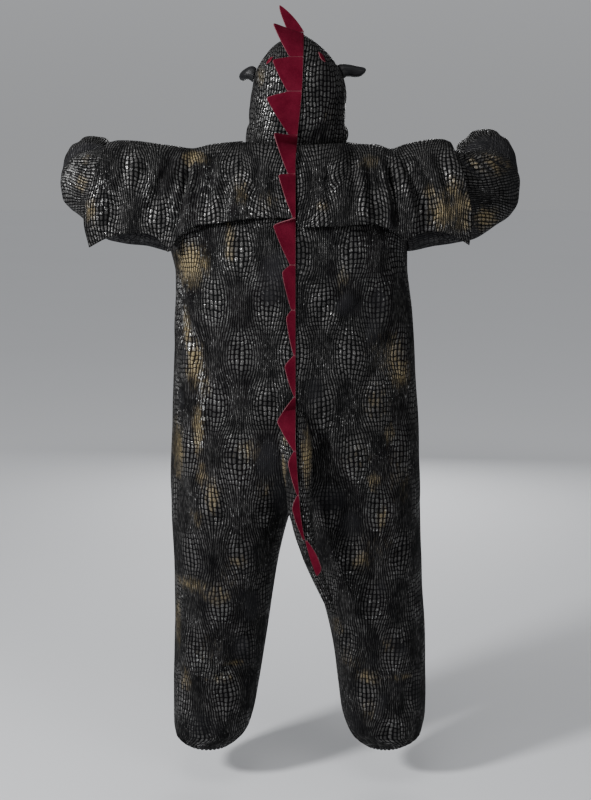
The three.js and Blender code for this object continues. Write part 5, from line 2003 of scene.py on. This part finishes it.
class ONESIE_OT_closure(bpy.types.Operator):
    """Adds the placket and its five buttons down the front"""

    bl_idname = "onesie.closure"
    bl_label = "Placket and Buttons"

    def execute(self, context):
        columns, rows = GRID["placket"]
        points = placket_grid(columns, rows)
        centre = placket_grid(2, rows)[:, 1]
        run, down = crosswise(points), lengthwise(points)
        to_side = np.minimum(run, run[:, -1:] - run)
        to_end = np.minimum(down, down[-1:] - down)
        along_edge = np.where(to_side < to_end, down, run)
        values = {"edge": np.minimum(to_side, to_end) * MM, "run": along_edge * MM}
        uv = laid_out(run, down)
        mesh = cloth_mesh("placket", points, uv, values, flip=True)
        piece = place_piece("placket_band", mesh, [placket_cloth()], ["placket"])
        thicken(piece, PLACKET["wall"] * MM)
        for index, level in enumerate(BUTTON_LEVELS):
            name = f"button_{index + 1}"
            row = int(np.argmin(np.abs(centre[:, 2] - level)))
            way = centre[min(row + 2, rows)] - centre[max(row - 2, 0)]
            normal = unit(np.cross(way, [1, 0, 0]))
            normal *= math.copysign(1, normal[1])
            low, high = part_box(name)
            mesh = button_mesh(index + 1, (low + high) / 2, Vector(normal))
            place_piece(f"{name}_disc", mesh, [button_plastic()], [name])
        return {"FINISHED"}


# ------------------------------------------------------------------ stage


def add_floor(scene):
    """A wide disc under the garment, a little paler far out with a painted glow, where it lights nothing."""
    bm = bmesh.new()
    bmesh.ops.create_circle(bm, cap_ends=True, segments=96, radius=FLOOR["radius"])
    bmesh.ops.translate(bm, verts=bm.verts, vec=(0, 0, SOLE_Z * MM))
    mesh = finished(bm, "floor", smooth=False)
    floor = bpy.data.objects.new("floor", mesh)
    scene.collection.objects.link(floor)
    colour = scene.onesie_colours.floor
    material, n, shader = new_material("studio floor")
    place = n.place()
    away = n.out("VectorMath", "Value", {0: place}, operation="LENGTH")
    seen = n.out("LightPath", "Is Camera Ray")
    # painted light: far out the floor glows, for camera rays only
    far = seen * n.between(away, *FLOOR["pale"])
    looks = {
        "Base Color": n.colour(n.noise(place, 0.6, 2.0), rgba(colour, 0.94), rgba(colour)),
        "Roughness": 0.85,
        "Emission Color": n.colour(far, (0, 0, 0, 1), rgba(colour)),
        "Emission Strength": 0.3,
    }
    n.fill(shader, looks)
    mesh.materials.append(material)


def add_air(scene):
    """Studio air, lighter overhead and paler to the eye than in what it lights."""
    colours = scene.onesie_colours
    world = bpy.data.worlds.new("studio air")
    world.use_nodes = True
    n = Nodes(world.node_tree)
    air = world.node_tree.nodes["Background"]
    rise = n.split(n.out("TexCoord", "Generated"))[2]
    low, high = rgba(colours.floor, 0.68), rgba(colours.air, 0.94)
    strength = n.mix(n.out("LightPath", "Is Camera Ray"), *AIR_STRENGTH)
    n.fill(air, {"Color": n.colour(n.between(rise, -0.02, 0.35), low, high), "Strength": strength})
    scene.world = world


def add_lamps(scene):
    for name, place, aim, size, power in LAMPS:
        data = bpy.data.lights.new(name, "AREA")
        data.shape, data.size, data.energy = "DISK", size, power
        lamp = bpy.data.objects.new(name, data)
        lamp.location = place
        lamp.rotation_euler = (Vector(aim) - Vector(place)).to_track_quat("-Z", "Y").to_euler()
        scene.collection.objects.link(lamp)


def add_camera(scene):
    data = bpy.data.cameras.new("studio camera")
    data.sensor_width, data.lens = CAMERA["sensor"], CAMERA["lens"]
    data.clip_start, data.clip_end = 0.05, 100
    camera = bpy.data.objects.new("studio camera", data)
    camera.location = (0, -CAMERA["away"], 0)
    camera.rotation_euler = (math.radians(90 - CAMERA["pitch"]), 0, 0)
    scene.collection.objects.link(camera)
    scene.camera = camera


class ONESIE_OT_stage(bpy.types.Operator):
    """Adds the floor, the air, the lamps and the camera"""

    bl_idname = "onesie.stage"
    bl_label = "Stage"

    def execute(self, context):
        for add in (add_floor, add_air, add_lamps, add_camera):
            add(context.scene)
        return {"FINISHED"}


class ONESIE_PT_panel(bpy.types.Panel):
    """Lists the sizes, the colours and the pieces"""

    bl_label = "Dragon Onesie"
    bl_idname = "ONESIE_PT_panel"
    bl_space_type = "VIEW_3D"
    bl_region_type = "UI"
    bl_category = "Onesie"

    def draw(self, context):
        layout = self.layout
        for group in (context.scene.onesie_sizes, context.scene.onesie_colours):
            box = layout.box()
            for key in group.__annotations__:
                box.prop(group, key)
        for operator in OPERATORS:
            layout.operator(operator.bl_idname)


OPERATORS = (
    ONESIE_OT_stage,
    ONESIE_OT_body,
    ONESIE_OT_sleeves,
    ONESIE_OT_wings,
    ONESIE_OT_hood,
    ONESIE_OT_spines,
    ONESIE_OT_eyes,
    ONESIE_OT_horns,
    ONESIE_OT_tail,
    ONESIE_OT_closure,
)
CLASSES = (OnesieSizes, OnesieColours, *OPERATORS, ONESIE_PT_panel)


def register():
    for item in CLASSES:
        bpy.utils.register_class(item)
    bpy.types.Scene.onesie_sizes = PointerProperty(type=OnesieSizes)
    bpy.types.Scene.onesie_colours = PointerProperty(type=OnesieColours)


def unregister():
    del bpy.types.Scene.onesie_colours
    del bpy.types.Scene.onesie_sizes
    for item in reversed(CLASSES):
        bpy.utils.unregister_class(item)


def main():
    register()
    for operator in OPERATORS:
        group, name = operator.bl_idname.split(".")
        getattr(getattr(bpy.ops, group), name)()
    bpy.context.view_layer.update()


if __name__ == "__main__":
    main()
